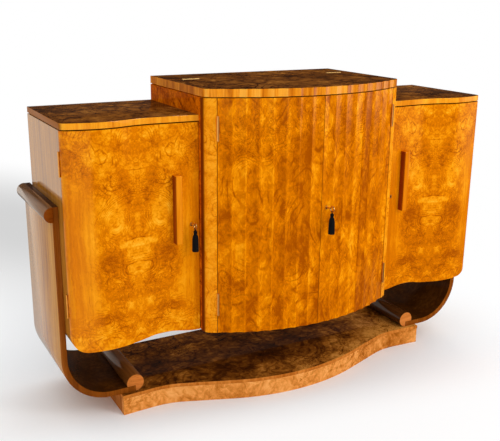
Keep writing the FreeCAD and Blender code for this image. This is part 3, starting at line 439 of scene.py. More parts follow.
def filled(bm, thickness):
    """Closes the outline, fills it and gives it a thickness along Z."""
    ends = [vert for vert in bm.verts if len(vert.link_edges) == 1]
    if ends:
        bmesh.ops.contextual_create(bm, geom=ends)
    face = bmesh.ops.contextual_create(bm, geom=bm.edges[:])["faces"]
    raised = bmesh.ops.extrude_face_region(bm, geom=face)["geom"]
    verts = [item for item in raised if isinstance(item, bmesh.types.BMVert)]
    bmesh.ops.translate(bm, verts=verts, vec=(0, 0, thickness))


def made(bm, name, body, stands_for, finishes, soft, placing, sort=None):
    """Rounds a piece's arrises, makes its object, hangs it on its body and hides the CAD piece that
    it stands for.
    """
    bmesh.ops.transform(bm, matrix=placing, verts=bm.verts[:])
    bmesh.ops.remove_doubles(bm, verts=bm.verts[:], dist=1e-6)
    bmesh.ops.recalc_face_normals(bm, faces=bm.faces[:])
    if sort is not None:
        for face in bm.faces:
            face.material_index = sort(face.normal)
    if soft:
        arrises = [
            edge for edge in bm.edges
            if edge.is_manifold and edge.calc_face_angle() > math.radians(35)]
        bmesh.ops.bevel(
            bm, geom=arrises, offset=soft, offset_type="OFFSET", segments=2, profile=0.5,
            affect="EDGES", material=-1, clamp_overlap=True)
    mesh = bpy.data.meshes.new(name)
    bm.to_mesh(mesh)
    bm.free()
    for finish in finishes:
        mesh.materials.append(finish)
    mesh.shade_smooth()
    mesh.set_sharp_from_angle(angle=math.radians(25))
    piece = bpy.data.objects.new(name, mesh)
    bpy.context.scene.collection.objects.link(piece)
    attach(piece, body)
    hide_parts(stands_for)


def from_plan(height, sign=1):
    """Lays a plan drawn as (across, depth) at a height, on the left where the sign is -1."""
    return Matrix.Translation((0, REAR, height)) @ Matrix.Diagonal((sign, -1, 1, 1))


def top_or_edge(normal):
    """The first finish on top and below, the second round the edges."""
    return 0 if abs(normal.z) > 0.7 else 1


board_half_width = 0.627
board_depth = 0.450
board_thickness = 0.013
board_underside = 0.059
board_bow = (0.716, -20.5)
board_slope = (0.170,)
board_hollow = (0.257, 23.8)
board_flare = math.radians(3.3)
board_arris = 0.0012
bm = bmesh.new()
end = traced(bm, (0, board_depth, 0), 0, [board_bow, board_slope, board_hollow])
flare = board_half_width - end.co.x
end = drawn_run(bm, end, (flare, flare * math.tan(board_flare), 0))
end = drawn_run(bm, end, (0, -FOOT_OVERHANG - end.co.y, 0))
drawn_run(bm, end, (-board_half_width, 0, 0))
bmesh.ops.mirror(bm, geom=bm.verts[:] + bm.edges[:], axis="X", merge_dist=1e-5)
filled(bm, board_thickness)
made(bm, "plinth_board", "cabinet", "plinth_top_board",
     [plinth_top_finish, plinth_edge_finish], board_arris, from_plan(board_underside), top_or_edge)


# The cradle: two panels that stand on the plinth and bend up past the side cupboards, laminated
# round a former and veneered. Round walnut rods with one flat are glued along their ends.
cradle_outer = straight_finish("cradle_walnut", "Z", [
    (0.10, (0.16, 0.040, 0.002)),
    (0.35, (0.36, 0.120, 0.006)),
    (0.50, (0.48, 0.185, 0.014)),
    (0.65, (0.57, 0.24, 0.024)),
    (0.85, (0.68, 0.32, 0.05))], coat_ior=1.29, coat_rough=0.06)
# The inside of the bend is painted near black: painted shade for where it lies under the cupboard.
shaded_cradle_inside = straight_finish("cradle_inside_painted_shade", "Z", [
    (0.10, (0.018, 0.005, 0.001)),
    (0.50, (0.060, 0.017, 0.002)),
    (0.85, (0.13, 0.042, 0.005))], coat_ior=1.10, coat_rough=0.15)
cradle_edge = straight_finish("cradle_edge", "Z", [
    (0.10, (0.10, 0.020, 0.001)),
    (0.50, (0.26, 0.065, 0.005)),
    (0.85, (0.42, 0.13, 0.02))], coat_ior=1.12)
cap_finish = straight_finish("cap_rod_walnut", "Y", [
    (0.10, (0.09, 0.028, 0.003)),
    (0.50, (0.22, 0.080, 0.012)),
    (0.85, (0.36, 0.15, 0.03))], coat_ior=1.45, coat_rough=0.07)
foot_finish = {
    "left": straight_finish("left_foot_rod_walnut", "Y", [
        (0.10, (0.07, 0.018, 0.002)),
        (0.50, (0.22, 0.070, 0.012)),
        (0.85, (0.36, 0.130, 0.030))], coat_ior=1.35, coat_rough=0.06),
    # The right rod is painted much darker than the left: painted shade.
    "right": straight_finish("right_foot_rod_painted_shade", "Y", [
        (0.10, (0.02, 0.005, 0.001)),
        (0.50, (0.08, 0.024, 0.004)),
        (0.85, (0.16, 0.055, 0.012))], coat_ior=1.35, coat_rough=0.06)}
cap_end = straight_finish("cap_rod_end", "X", [
    (0.10, (0.09, 0.016, 0.001)),
    (0.50, (0.20, 0.040, 0.002)),
    (0.85, (0.31, 0.08, 0.006))], 0.2, coat_ior=1.1)
foot_end = straight_finish("foot_rod_end", "X", [
    (0.10, (0.36, 0.085, 0.010)),
    (0.50, (0.68, 0.21, 0.038)),
    (0.85, (0.85, 0.33, 0.08))], 0.2, coat_ior=1.1)


def from_front(near, sign):
    """Stands an outline drawn as (across, height) up, with its thickness running forward."""
    stand = Matrix(((sign, 0, 0, 0), (0, 0, -1, 0), (0, 1, 0, 0), (0, 0, 0, 1)))
    return Matrix.Translation((0, REAR - near, 0)) @ stand


def rod_face(normal):
    """The second finish on a rod's ends."""
    return 1 if abs(normal.y) > 0.7 else 0


panel_foot = (0.5766, 0.072, 0)
panel_run = (0.0794,)
panel_radius = 0.164
panel_rise = (0.504,)
panel_thickness = 0.020
panel_arris = 0.0012
cradle_depth = 0.320 + FOOT_OVERHANG
cap_start = (0.820, 0.743917, 0)
cap_centre = (0.8243, 0.720, 0)
cap_sweep = math.radians(200.38)
cap_set_back = 0.016
foot_radius = 0.030
foot_sweep = math.radians(289.47)
rod_arris = 0.0015
inner_foot = (panel_foot[0], panel_foot[1] + panel_thickness, 0)
foot_centre = (panel_foot[0], panel_foot[1] + foot_radius, 0)
for side, sign in (("left", -1), ("right", 1)):
    def cradle_face(normal):
        """The outer finish, the inside in painted shade, or the edge's."""
        if abs(normal.y) > 0.7:
            return 2
        return 0 if normal.x * sign > 0.2 or normal.z < -0.5 else 1

    bm = bmesh.new()
    end = traced(bm, panel_foot, 0, [panel_run, (panel_radius, 90), panel_rise])
    drawn_run(bm, end, (-panel_thickness, 0, 0))
    traced(bm, inner_foot, 0, [panel_run, (panel_radius - panel_thickness, 90), panel_rise])
    bmesh.ops.remove_doubles(bm, verts=bm.verts[:], dist=1e-6)
    filled(bm, cradle_depth)
    made(bm, side + "_cradle", "cabinet", side + "_cradle_panel",
         [cradle_outer, shaded_cradle_inside, cradle_edge], panel_arris,
         from_front(-FOOT_OVERHANG, sign), cradle_face)

    bm = bmesh.new()
    drawn_bend(bm, begun(bm, cap_start), cap_centre, -cap_sweep, steps=40)
    filled(bm, cradle_depth)
    made(bm, side + "_cap_rod", "cabinet", side + "_upper_rod",
         [cap_finish, cap_end], rod_arris,
         from_front(cap_set_back - FOOT_OVERHANG, sign), rod_face)

    bm = bmesh.new()
    end = drawn_bend(bm, begun(bm, panel_foot), foot_centre, -foot_sweep, steps=60)
    drawn_run(bm, end, (panel_foot[0] - end.co.x, 0, 0))
    filled(bm, cradle_depth)
    made(bm, side + "_foot_rod", "cabinet", side + "_lower_rod",
         [foot_finish[side], foot_end], rod_arris, from_front(-FOOT_OVERHANG, sign), rod_face)


# The side cupboards: sides bent round the lower corner, floors, backs and shelves, under dark
# burr tops that stand over a shadow groove. Veneered outside, plain satin wood inside.
def facing(finish, axis, low, high):
    """1 where the surface faces along the named axis of the piece, 0 elsewhere."""
    normal = step(finish, "TexCoord", {}, output="Normal")
    return graded(finish, along_axis(finish, normal, axis), low, high)


def shine(finish, left, right):
    """The polish's strength, from what faces left to what faces right."""
    return graded(finish, facing(finish, "X", -0.25, 0.10), 0.0, 1.0, left, right)


inside_wood = [
    (0.2, (0.20, 0.085, 0.03)),
    (0.5, (0.34, 0.16, 0.065)),
    (0.8, (0.46, 0.25, 0.11))]
dark_burr = [
    (0.10, (0.020, 0.005, 0.001)),
    (0.35, (0.082, 0.023, 0.003)),
    (0.50, (0.150, 0.046, 0.006)),
    (0.65, (0.230, 0.078, 0.010)),
    (0.85, (0.380, 0.150, 0.025))]
side_finish = straight_finish("side_walnut", "Z", [
    (0.10, (0.20, 0.060, 0.006)),
    (0.35, (0.34, 0.125, 0.020)),
    (0.50, (0.46, 0.175, 0.016)),
    (0.65, (0.54, 0.225, 0.03)),
    (0.85, (0.64, 0.31, 0.06))], coat_ior=1.36, coat_rough=0.05)
inside_finish = straight_finish(
    "inside_wood", "Z", inside_wood, coat=0.2, coat_rough=0.3, coat_ior=1.3, level=0.2)
top_finish = finish = new_finish("top_burr")
place = step(finish, "TexCoord", {}, output="Object")
figure, relief = burr_tone(finish, place, 0.54, size=0.55, line=-0.22)
polished(finish, tones(finish, figure, dark_burr), relief, coat_ior=1.25, coat=0.3)
edge_finish = finish = new_finish("top_edge_walnut")
place = step(finish, "TexCoord", {}, output="Object")
straight, relief = straight_tone(finish, place, "Z", 0.06)
# Where the edge faces left it is painted dark: painted shade.
colour = either(finish, facing(finish, "X", -0.7, -0.95), tones(finish, straight, [
    (0.10, (0.48, 0.11, 0.003)),
    (0.35, (0.76, 0.22, 0.006)),
    (0.50, (0.90, 0.32, 0.012)),
    (0.65, (0.98, 0.41, 0.02)),
    (0.85, (1.00, 0.50, 0.04))]), (0.34, 0.10, 0.006, 1))
polished(finish, colour, relief, coat_ior=1.4, coat=shine(finish, 0.2, 1.0))
slab_start = (0.370, 0.3964, 0)
slab_heading = math.radians(-2.5)
slab_moves = [(0.1456,), (0.2789, 20.0), (0.2401, -31.4), (0.0408,), (0.025, -76.1)]
slab_thickness = 0.019
slab_underside = 0.981
slab_arris = 0.0012
for side, sign in (("left", -1), ("right", 1)):
    dress(side_finish, side + "_outer_side")
    dress(inside_finish, side + "_floor", side + "_shelf")
    bm = bmesh.new()
    end = traced(bm, slab_start, slab_heading, slab_moves)
    end = drawn_run(bm, end, (0, -end.co.y, 0))
    drawn_run(bm, end, (slab_start[0] - end.co.x, 0, 0))
    filled(bm, slab_thickness)
    made(bm, side + "_top_slab", "cabinet", side + "_top",
         [top_finish, edge_finish], slab_arris, from_plan(slab_underside, sign), top_or_edge)
dress(inside_finish, "side_backs")


# The side doors: overlay doors with a shaped front, veneered in book-matched burr walnut about
# an upright centre line, on ply with a solid lipping, and polished to a deep gloss.
golden_burr = [
    (0.00, (0.380, 0.075, 0.000)),
    (0.17, (0.520, 0.122, 0.000)),
    (0.30, (0.630, 0.160, 0.000)),
    (0.42, (0.710, 0.188, 0.000)),
    (0.50, (0.790, 0.236, 0.001)),
    (0.60, (0.870, 0.290, 0.002)),
    (0.74, (0.960, 0.366, 0.008)),
    (0.95, (1.000, 0.480, 0.030))]
lipping = [
    (0.10, (0.30, 0.070, 0.002)),
    (0.50, (0.50, 0.140, 0.006)),
    (0.85, (0.68, 0.23, 0.02))]
lining = [
    (0.10, (0.26, 0.11, 0.04)),
    (0.50, (0.38, 0.18, 0.07)),
    (0.85, (0.50, 0.26, 0.11))]


def blotches(finish, place, marks, crisp=False):
    """The sum of oval marks, each (across, height, half width, half height, strength)."""
    total = None
    rim, core = (1.12, 0.8) if crisp else (1.35, 0.25)
    for across, height, half_width, half_height, strength in marks:
        gap = step(finish, "VectorMath", {
            0: place, 1: (1 / half_width, 0, 1 / half_height),
            2: (-across / half_width, 0, -height / half_height)}, operation="MULTIPLY_ADD")
        gap = step(finish, "VectorMath", {0: gap}, output="Value", operation="LENGTH")
        mark = graded(finish, gap, rim, core, 0.0, strength, smooth=True)
        total = mark if total is None else sums(finish, "ADD", total, mark)
    return total


def door_colour(finish, place, figure):
    """The burr on the front, a solid lipping round the edges, and a plain lining behind."""
    straight = straight_tone(finish, place, "Z")[0]
    around = either(finish, facing(finish, "Y", 0.5, 0.7),
                    tones(finish, straight, lipping), tones(finish, straight, lining))
    return either(finish, facing(finish, "Y", -0.06, -0.10), around,
                  tones(finish, figure, golden_burr))


# The figure of one side door, from its centre line out: where the growth lines ring round an
# eye, soft light and dark marks, crisp marks, and clusters of pips.
side_eyes = [
    (0.000, 0.918, 0.070, 0.060, 0.30), (0.150, 0.905, 0.060, 0.050, 0.22),
    (0.026, 0.755, 0.045, 0.036, 0.24), (0.078, 0.700, 0.052, 0.066, 0.34),
    (0.000, 0.610, 0.090, 0.050, 0.26), (0.052, 0.460, 0.050, 0.060, 0.26),
    (0.120, 0.540, 0.060, 0.070, 0.20), (0.125, 0.375, 0.060, 0.045, 0.24),
    (0.100, 0.825, 0.060, 0.040, 0.18), (0.050, 0.345, 0.045, 0.050, 0.20)]
side_marks = [
    (0.026, 0.755, 0.010, 0.009, -0.34), (0.026, 0.757, 0.030, 0.024, -0.09),
    (0.000, 0.742, 0.016, 0.016, -0.12), (0.018, 0.696, 0.008, 0.008, -0.16),
    (0.014, 0.664, 0.005, 0.030, -0.12), (0.000, 0.706, 0.012, 0.008, 0.10),
    (0.074, 0.681, 0.009, 0.004, -0.22), (0.000, 0.450, 0.020, 0.120, 0.05),
    (0.100, 0.560, 0.050, 0.046, -0.11), (0.048, 0.470, 0.024, 0.045, -0.12),
    (0.044, 0.450, 0.014, 0.012, -0.12), (0.048, 0.355, 0.026, 0.036, -0.10),
    (0.125, 0.382, 0.030, 0.014, -0.12), (0.093, 0.848, 0.014, 0.005, -0.20),
    (0.120, 0.853, 0.070, 0.003, -0.09), (0.000, 0.846, 0.060, 0.003, -0.08),
    (0.155, 0.900, 0.040, 0.034, 0.12), (0.105, 0.905, 0.016, 0.026, 0.08),
    (0.075, 0.940, 0.012, 0.034, -0.09), (0.000, 0.950, 0.014, 0.036, -0.08),
    (0.000, 0.835, 0.030, 0.030, 0.08), (0.160, 0.650, 0.034, 0.080, 0.08),
    (0.150, 0.470, 0.030, 0.045, 0.08), (0.115, 0.425, 0.034, 0.018, 0.07),
    (0.205, 0.620, 0.022, 0.240, -0.06), (0.100, 0.300, 0.080, 0.016, 0.05)]
side_shapes = [
    (0.076, 0.706, 0.030, 0.050, 0.09), (0.066, 0.668, 0.034, 0.020, 0.06),
    (0.000, 0.618, 0.066, 0.015, 0.14), (0.042, 0.958, 0.018, 0.024, 0.12),
    (0.000, 0.634, 0.058, 0.003, -0.10), (0.056, 0.577, 0.005, 0.028, -0.09),
    (0.042, 0.535, 0.004, 0.026, -0.09), (0.150, 0.905, 0.026, 0.022, 0.06)]
side_pips = [
    (0.085, 0.812, 0.075, 0.038, 1.0), (0.000, 0.796, 0.060, 0.022, 0.8),
    (0.110, 0.550, 0.070, 0.060, 0.8), (0.050, 0.460, 0.045, 0.070, 1.0),
    (0.120, 0.375, 0.070, 0.035, 1.0), (0.045, 0.345, 0.045, 0.045, 0.9),
    (0.180, 0.890, 0.050, 0.060, 0.8), (0.060, 0.900, 0.030, 0.060, 0.4)]
# For each door: its middle, and how much painted shade darkens it towards the bottom, most on the
# right door.
door_middles = {"left_door": (-0.577, -0.02), "right_door": (0.598, -0.17)}
for name, (middle, painted_lower_shade) in door_middles.items():
    finish = new_finish(name + "_burr")
    place = step(finish, "TexCoord", {}, output="Object")
    height = along_axis(finish, place, "Z")
    wander = sums(finish, "MULTIPLY_ADD", cloud(finish, place, 7.0, 1.0), 0.020, -middle)
    across = sums(finish, "ADD", along_axis(finish, place, "X"), wander)
    across = sums(finish, "ABSOLUTE", across)
    matched = step(finish, "CombineXYZ", {"X": across, "Y": 0.0, "Z": height})
    curved = warped(finish, matched, 24.0, 0.016)
    outer = sums(finish, "MAXIMUM", sums(finish, "SUBTRACT", across, 0.13), 0.0)
    outer = sums(finish, "MULTIPLY", outer, 4.5)
    rise = sums(finish, "ADD", blotches(finish, curved, side_eyes), outer)
    cluster = sums(finish, "MINIMUM", blotches(finish, curved, side_pips), 1.0)
    tone, relief = burr_tone(finish, matched, 0.53, rise, cluster)
    grain = straight_tone(finish, curved, "Z", 0.02, 0.44)[0]
    plain = graded(finish, across, 0.115, 0.165, smooth=True)
    plain = sums(finish, "MULTIPLY", plain, graded(finish, height, 0.86, 0.76))
    plain = sums(finish, "MULTIPLY", plain, graded(finish, height, 0.34, 0.42, 0.0, 0.9))
    tone = step(finish, "Mix", {"Factor": plain, "A": tone, "B": grain})
    tone = sums(finish, "MULTIPLY_ADD", blotches(finish, curved, side_marks), 0.95, tone)
    shapes = blotches(finish, curved, side_shapes, crisp=True)
    tone = sums(finish, "MULTIPLY_ADD", shapes, 1.6, tone)
    # Painted shade: darker towards the bottom.
    tone = sums(finish, "ADD", tone, graded(finish, height, 0.75, 0.35, 0.0, painted_lower_shade))
    polished(finish, door_colour(finish, place, tone), relief, coat_ior=1.25, coat=0.6)
    dress(finish, name)


# The handles: upright bars of solid walnut with their front edges rounded over, screwed from
# behind the doors. Their backs follow the slight turn of the doors' fronts.
handle_finish = finish = new_finish("handle_walnut")
place = step(finish, "TexCoord", {}, output="Object")
straight, relief = straight_tone(finish, place, "Z")
# The left-facing flank is painted dark: painted shade.
colour = either(finish, facing(finish, "X", -0.45, -0.80), tones(finish, straight, [
    (0.10, (0.44, 0.090, 0.001)),
    (0.50, (0.74, 0.200, 0.002)),
    (0.85, (0.92, 0.32, 0.010))]), tones(finish, straight, [
        (0.10, (0.12, 0.016, 0.000)),
        (0.50, (0.26, 0.044, 0.001)),
        (0.85, (0.44, 0.100, 0.003))]))
polished(finish, colour, relief, coat_ior=1.3, coat=shine(finish, 0.1, 0.8))
handle_inner = 0.436
handle_width = 0.024
handle_corner = 0.006
corner_depth = 0.4124
inner_back = 0.3935
outer_back = 0.3925
handle_foot = 0.598
handle_length = 0.220
handle_arris = 0.0015
for side, sign in (("left", -1), ("right", 1)):
    bm = bmesh.new()
    end = begun(bm, (handle_inner, inner_back, 0))
    end = drawn_run(bm, end, (0, corner_depth - inner_back, 0))
    centre = Vector((handle_inner + handle_corner, corner_depth, 0))
    end = drawn_bend(bm, end, centre, -math.pi / 2, steps=8)
    across_front = Vector((handle_width - 2 * handle_corner, 0, 0))
    end = drawn_run(bm, end, across_front)
    end = drawn_bend(bm, end, centre + across_front, -math.pi / 2, steps=8)
    drawn_run(bm, end, (0, outer_back - corner_depth, 0))
    filled(bm, handle_length)
    made(bm, side + "_grip", side + "_door", side + "_handle",
         [handle_finish], handle_arris, from_plan(handle_foot, sign))


# The centre: two sides, veneered where they stand clear of the side cupboards, with rounded
# posts glued to their front edges. The boards between them are of plain satin wood.
covered_height = 0.985
covered_depth = 0.372
finish = new_finish("centre_side_walnut")
place = step(finish, "TexCoord", {}, output="Object")
normal = step(finish, "TexCoord", {}, output="Normal")
outward = sums(finish, "MULTIPLY", sums(finish, "SIGN", along_axis(finish, place, "X")),
               along_axis(finish, normal, "X"))
height = along_axis(finish, place, "Z")
covered = graded(finish, height, covered_height + 0.005, covered_height)
back = along_axis(finish, place, "Y")
covered = sums(finish, "MULTIPLY", covered, graded(
    finish, back, REAR - covered_depth - 0.002, REAR - covered_depth))
inside = sums(finish, "MAXIMUM", graded(finish, outward, -0.5, -0.7), covered)
figure, relief = burr_tone(finish, place, 0.50, size=0.8)
straight = straight_tone(finish, place, "Z")[0]
polished(finish, either(finish, inside, tones(finish, figure, [
    (0.10, (0.28, 0.044, 0.000)),
    (0.35, (0.54, 0.092, 0.000)),
    (0.50, (0.70, 0.138, 0.000)),
    (0.65, (0.82, 0.190, 0.001)),
    (0.90, (0.95, 0.30, 0.004))]), tones(finish, straight, inside_wood)),
    relief, coat_ior=1.1, coat=0.15)
dress(finish, "centre_left_side", "centre_right_side")
finish = new_finish("post_walnut")
place = step(finish, "TexCoord", {}, output="Object")
figure, relief = burr_tone(finish, place, 0.70, size=1.3)
# Where the rounded post faces left it is painted dark: painted shade.
colour = either(finish, facing(finish, "X", -0.86, -0.97), tones(finish, figure, [
    (0.10, (0.48, 0.10, 0.001)),
    (0.35, (0.68, 0.17, 0.001)),
    (0.50, (0.80, 0.235, 0.002)),
    (0.65, (0.89, 0.29, 0.004)),
    (0.85, (0.97, 0.37, 0.012))]), (0.20, 0.035, 0.001, 1))
polished(finish, colour, relief, coat_ior=1.5, coat=shine(finish, 0.05, 0.8))
dress(finish, "centre_left_post", "centre_right_post")
dress(inside_finish, "centre_floor", "centre_shelf", "well_floor", "well_front", "centre_back")


# The centre doors: bowed, with eight upright hollows each, worked in the ground and veneered
# hollow by hollow, so that the figure steps a little from one to the next.
# The eyes, marks and pips here are placed from the middle of the cabinet.
centre_eyes = [
    (-0.205, 0.905, 0.075, 0.060, 0.30), (-0.300, 0.900, 0.050, 0.060, 0.20),
    (-0.120, 0.915, 0.050, 0.050, 0.20), (-0.030, 0.980, 0.060, 0.060, 0.20),
    (-0.290, 0.480, 0.075, 0.080, 0.16), (-0.070, 0.480, 0.070, 0.070, 0.14),
    (0.070, 0.520, 0.070, 0.070, 0.16), (0.290, 0.490, 0.080, 0.080, 0.18),
    (0.150, 0.900, 0.090, 0.070, 0.24), (0.260, 0.920, 0.070, 0.070, 0.24)]
centre_marks = [
    (-0.205, 0.886, 0.044, 0.016, -0.16), (-0.205, 0.942, 0.042, 0.008, -0.12),
    (-0.120, 0.902, 0.030, 0.010, -0.10), (-0.300, 0.885, 0.030, 0.030, -0.09),
    (-0.110, 0.925, 0.016, 0.016, 0.12), (-0.230, 0.925, 0.022, 0.010, 0.10),
    (-0.200, 0.650, 0.020, 0.200, -0.09), (-0.290, 0.490, 0.050, 0.050, -0.10),
    (-0.276, 0.460, 0.012, 0.010, -0.16), (-0.066, 0.480, 0.038, 0.036, -0.10),
    (-0.066, 0.464, 0.012, 0.009, -0.16), (-0.318, 0.772, 0.014, 0.010, -0.16),
    (-0.018, 0.764, 0.022, 0.008, -0.14), (-0.230, 0.830, 0.014, 0.008, -0.14),
    (-0.102, 0.625, 0.005, 0.030, -0.13), (-0.228, 0.640, 0.005, 0.040, -0.13),
    (-0.155, 0.345, 0.026, 0.030, -0.09), (-0.260, 0.845, 0.050, 0.018, 0.10),
    (-0.030, 0.820, 0.020, 0.060, 0.12), (-0.050, 0.640, 0.034, 0.110, 0.07),
    (-0.280, 0.620, 0.034, 0.110, 0.06), (0.075, 0.510, 0.028, 0.040, -0.13),
    (0.205, 0.462, 0.024, 0.026, -0.14), (0.290, 0.485, 0.042, 0.052, -0.18),
    (0.245, 0.885, 0.055, 0.026, -0.10), (0.070, 0.885, 0.030, 0.020, -0.09),
    (0.150, 0.690, 0.014, 0.018, -0.10), (0.212, 0.768, 0.012, 0.020, -0.14),
    (0.240, 0.630, 0.014, 0.024, -0.10), (0.325, 0.770, 0.014, 0.022, -0.12),
    (0.060, 0.845, 0.040, 0.030, 0.08), (0.110, 0.740, 0.030, 0.040, 0.06)]
centre_pips = [
    (-0.200, 0.950, 0.170, 0.120, 0.9), (-0.040, 1.000, 0.070, 0.070, 0.8),
    (0.180, 0.950, 0.180, 0.120, 0.9), (-0.290, 0.480, 0.060, 0.070, 1.0),
    (-0.065, 0.480, 0.060, 0.060, 1.0), (0.080, 0.520, 0.060, 0.050, 0.9),
    (0.290, 0.480, 0.060, 0.060, 1.0), (-0.130, 0.670, 0.040, 0.050, 0.7),
    (0.150, 0.690, 0.050, 0.060, 0.8), (-0.150, 0.360, 0.070, 0.050, 0.7)]
hollow_width = 0.0418
finish = new_finish("centre_door_burr")
place = step(finish, "TexCoord", {}, output="Object")
across = along_axis(finish, place, "X")
height = along_axis(finish, place, "Z")
hollow = sums(finish, "FLOOR", sums(finish, "DIVIDE", across, hollow_width))
chance = step(finish, "TexWhiteNoise", {"W": hollow}, output="Value", noise_dimensions="1D")
shifted = sums(finish, "ADD", height, sums(finish, "MULTIPLY_ADD", chance, 0.036, -0.018))
stepped = step(finish, "CombineXYZ", {"X": across, "Y": 0.0, "Z": shifted})
curved = warped(finish, warped(finish, stepped, 9.0, 0.06), 24.0, 0.022)
cluster = sums(finish, "MINIMUM", blotches(finish, curved, centre_pips), 1.0)
streaks = cloud(finish, drawn_out(finish, curved, "Z", 26.0, 3.0), 1.0, 3.0, 0.5)
pulled = drawn_out(finish, stepped, "Z", 1.0, 0.6)
tone, relief = burr_tone(finish, pulled, 0.45, blotches(finish, curved, centre_eyes), cluster)
tone = sums(finish, "MULTIPLY_ADD", blotches(finish, curved, centre_marks), 0.75, tone)
tone = sums(finish, "MULTIPLY_ADD", streaks, 0.34, tone)
tone = sums(finish, "ADD", tone, sums(finish, "MULTIPLY_ADD", chance, 0.20, -0.20))
tone = sums(finish, "MULTIPLY_ADD", sums(finish, "PINGPONG", hollow, 1.0), 0.10, tone)
# Painted light and shade: each hollow is lighter where it faces right, and the doors are darker
# towards the right. They are also a little lighter towards the top.
tone = sums(finish, "MULTIPLY_ADD", facing(finish, "X", -0.35, 0.25), 0.14, tone)
tone = sums(finish, "ADD", tone, graded(finish, height, 0.85, 1.05, -0.05, 0.05))
tone = sums(finish, "ADD", tone, graded(finish, across, -0.05, 0.20, 0.0, -0.13))
upper_gloss = graded(finish, height, 0.92, 1.05, 0.15, 0.9)
lower_gloss = sums(
    finish, "MULTIPLY", graded(finish, across, 0.12, 0.26), graded(finish, height, 0.54, 0.40))
gloss = sums(finish, "MAXIMUM", upper_gloss, lower_gloss)
polished(finish, door_colour(finish, place, tone), relief, coat_ior=1.4,
         coat=sums(finish, "MULTIPLY", gloss, shine(finish, 0.15, 0.9)))
dress(finish, "centre_left_door", "centre_right_door")


# The lid and the fixed strip behind it: burr on top and a plain lining below, with the doors'
# hollows carried through the lid's front edge in bright cross-grained walnut.
finish = new_finish("lid_walnut")
place = step(finish, "TexCoord", {}, output="Object")
figure, relief = burr_tone(finish, place, 0.50, size=0.55)
straight = straight_tone(finish, place, "Z", 0.06, 0.80)[0]
# Painted shade: the edge is darker where it faces right.
straight = sums(finish, "MULTIPLY_ADD", facing(finish, "X", -0.45, 0.20), -0.30, straight)
slip = sums(finish, "DIVIDE", along_axis(finish, place, "X"), hollow_width / 2)
slip = sums(finish, "FLOOR", slip)
slip = step(finish, "TexWhiteNoise", {"W": slip}, output="Value", noise_dimensions="1D")
straight = sums(finish, "ADD", straight, sums(finish, "MULTIPLY_ADD", slip, 0.30, -0.15))
# Painted shade: darker still where the lid's left corner faces left.
straight = sums(finish, "MULTIPLY_ADD", facing(finish, "X", -0.80, -0.95), -0.36, straight)
edge = tones(finish, straight, [
    (0.10, (0.20, 0.035, 0.000)),
    (0.35, (0.46, 0.100, 0.001)),
    (0.50, (0.68, 0.190, 0.004)),
    (0.65, (0.86, 0.29, 0.012)),
    (0.85, (0.98, 0.42, 0.04))])
colour = either(finish, facing(finish, "Z", 0.5, 0.7), edge, tones(finish, figure, dark_burr))
colour = either(finish, facing(finish, "Z", -0.5, -0.7), colour, tones(finish, straight, lining))
upright = graded(finish, facing(finish, "Z", 0.5, 0.7), 0.0, 1.0, 1.0, 0.2)
polished(finish, colour, relief, coat_ior=1.6,
         coat=sums(finish, "MULTIPLY", upright, shine(finish, 0.1, 1.0)))
dress(finish, "rear_top_strip", "lid")


# Hinges, locks, keyhole linings and keys: cast and stamped brass, gone dull, let in flush and
# screwed, with steel bolts in the locks. The leaves on the outer edges are the darkest.
def metal(name, colour, worn, rough, outside=None):
    """Metal with worn patches; the outside colour takes over on the outermost pieces."""
    finish = new_finish(name)
    place = step(finish, "TexCoord", {}, output="Object")
    patch = sums(finish, "ADD", cloud(finish, place, 90.0, 5.0), 0.5)
    tone = either(finish, patch, (*colour, 1), (*worn, 1))
    if outside:
        across = sums(finish, "ABSOLUTE", along_axis(finish, place, "X"))
        tone = either(finish, graded(finish, across, 0.5, 0.55), tone, (*outside, 1))
    shader = polished(finish, tone, patch, coat=0.0, coat_ior=1.5, rough=rough, level=0.5)
    shader.inputs["Metallic"].default_value = 1.0
    return finish


brass = metal("brass", (0.86, 0.58, 0.24), (0.56, 0.30, 0.08), 0.34)
dark_brass = metal("dark_brass", (0.95, 0.46, 0.09), (0.70, 0.30, 0.05), 0.5)
frame_brass = metal("frame_brass", (0.95, 0.56, 0.18), (0.72, 0.34, 0.08), 0.4, (0.80, 0.34, 0.05))
steel = metal("steel", (0.42, 0.41, 0.39), (0.25, 0.24, 0.23), 0.4)
for name in nodes:
    if "hinge_leaves" in name or "escutcheon" in name or "lock_case" in name:
        dress(brass, name)
dress(dark_brass, "left_door_hinge_leaves", "right_door_hinge_leaves")
dress(frame_brass, "frame_hinge_leaves", "centre_left_hinge_leaves", "centre_right_hinge_leaves")
dress(brass, "lid_stays", "stay_guides")
dress(steel, "left_bolt", "right_bolt", "centre_bolt")
dress(brass, "left_key", "centre_key")


# The tassels: black rayon, a ribbed head on a cord loop, three turns of binding at the neck, and
# a skirt of cut threads that hangs almost straight. Each stands for the plain turned one.
yarn = new_finish("tassel_yarn")
place = step(yarn, "TexCoord", {}, output="Object")
threads = sums(yarn, "ADD", cloud(yarn, drawn_out(yarn, place, "Z", 900.0, 60.0), 1.0, 3.0), 0.5)
tone = tones(yarn, threads, [(0.3, (0.0015, 0.0015, 0.0020)), (0.7, (0.008, 0.008, 0.010))])
polished(yarn, tone, threads, coat=0.0, coat_ior=1.5, rough=0.8, level=0.12)
thread_radius = 0.0006
binding_radius = 0.0048
binding_cord = 0.0007
binding_turns = (-0.0136, -0.0147, -0.0158)
loop_radius = 0.0034
loop_cord = 0.0008
core_profile = [
    (0.0050, -0.0030), (0.0058, -0.0072), (0.0044, -0.0135), (0.0044, -0.0155), (0.0064, -0.0175),
    (0.0080, -0.0225), (0.0091, -0.0320), (0.0097, -0.0500), (0.0099, -0.0690)]
head_top = (0.0012, -0.0004)
skirt_end = (0.0100, -0.0705)
skirt_gap = 0.0002
inner_threads = [(0.0060, -0.0680), (0.0062, -0.0715)]


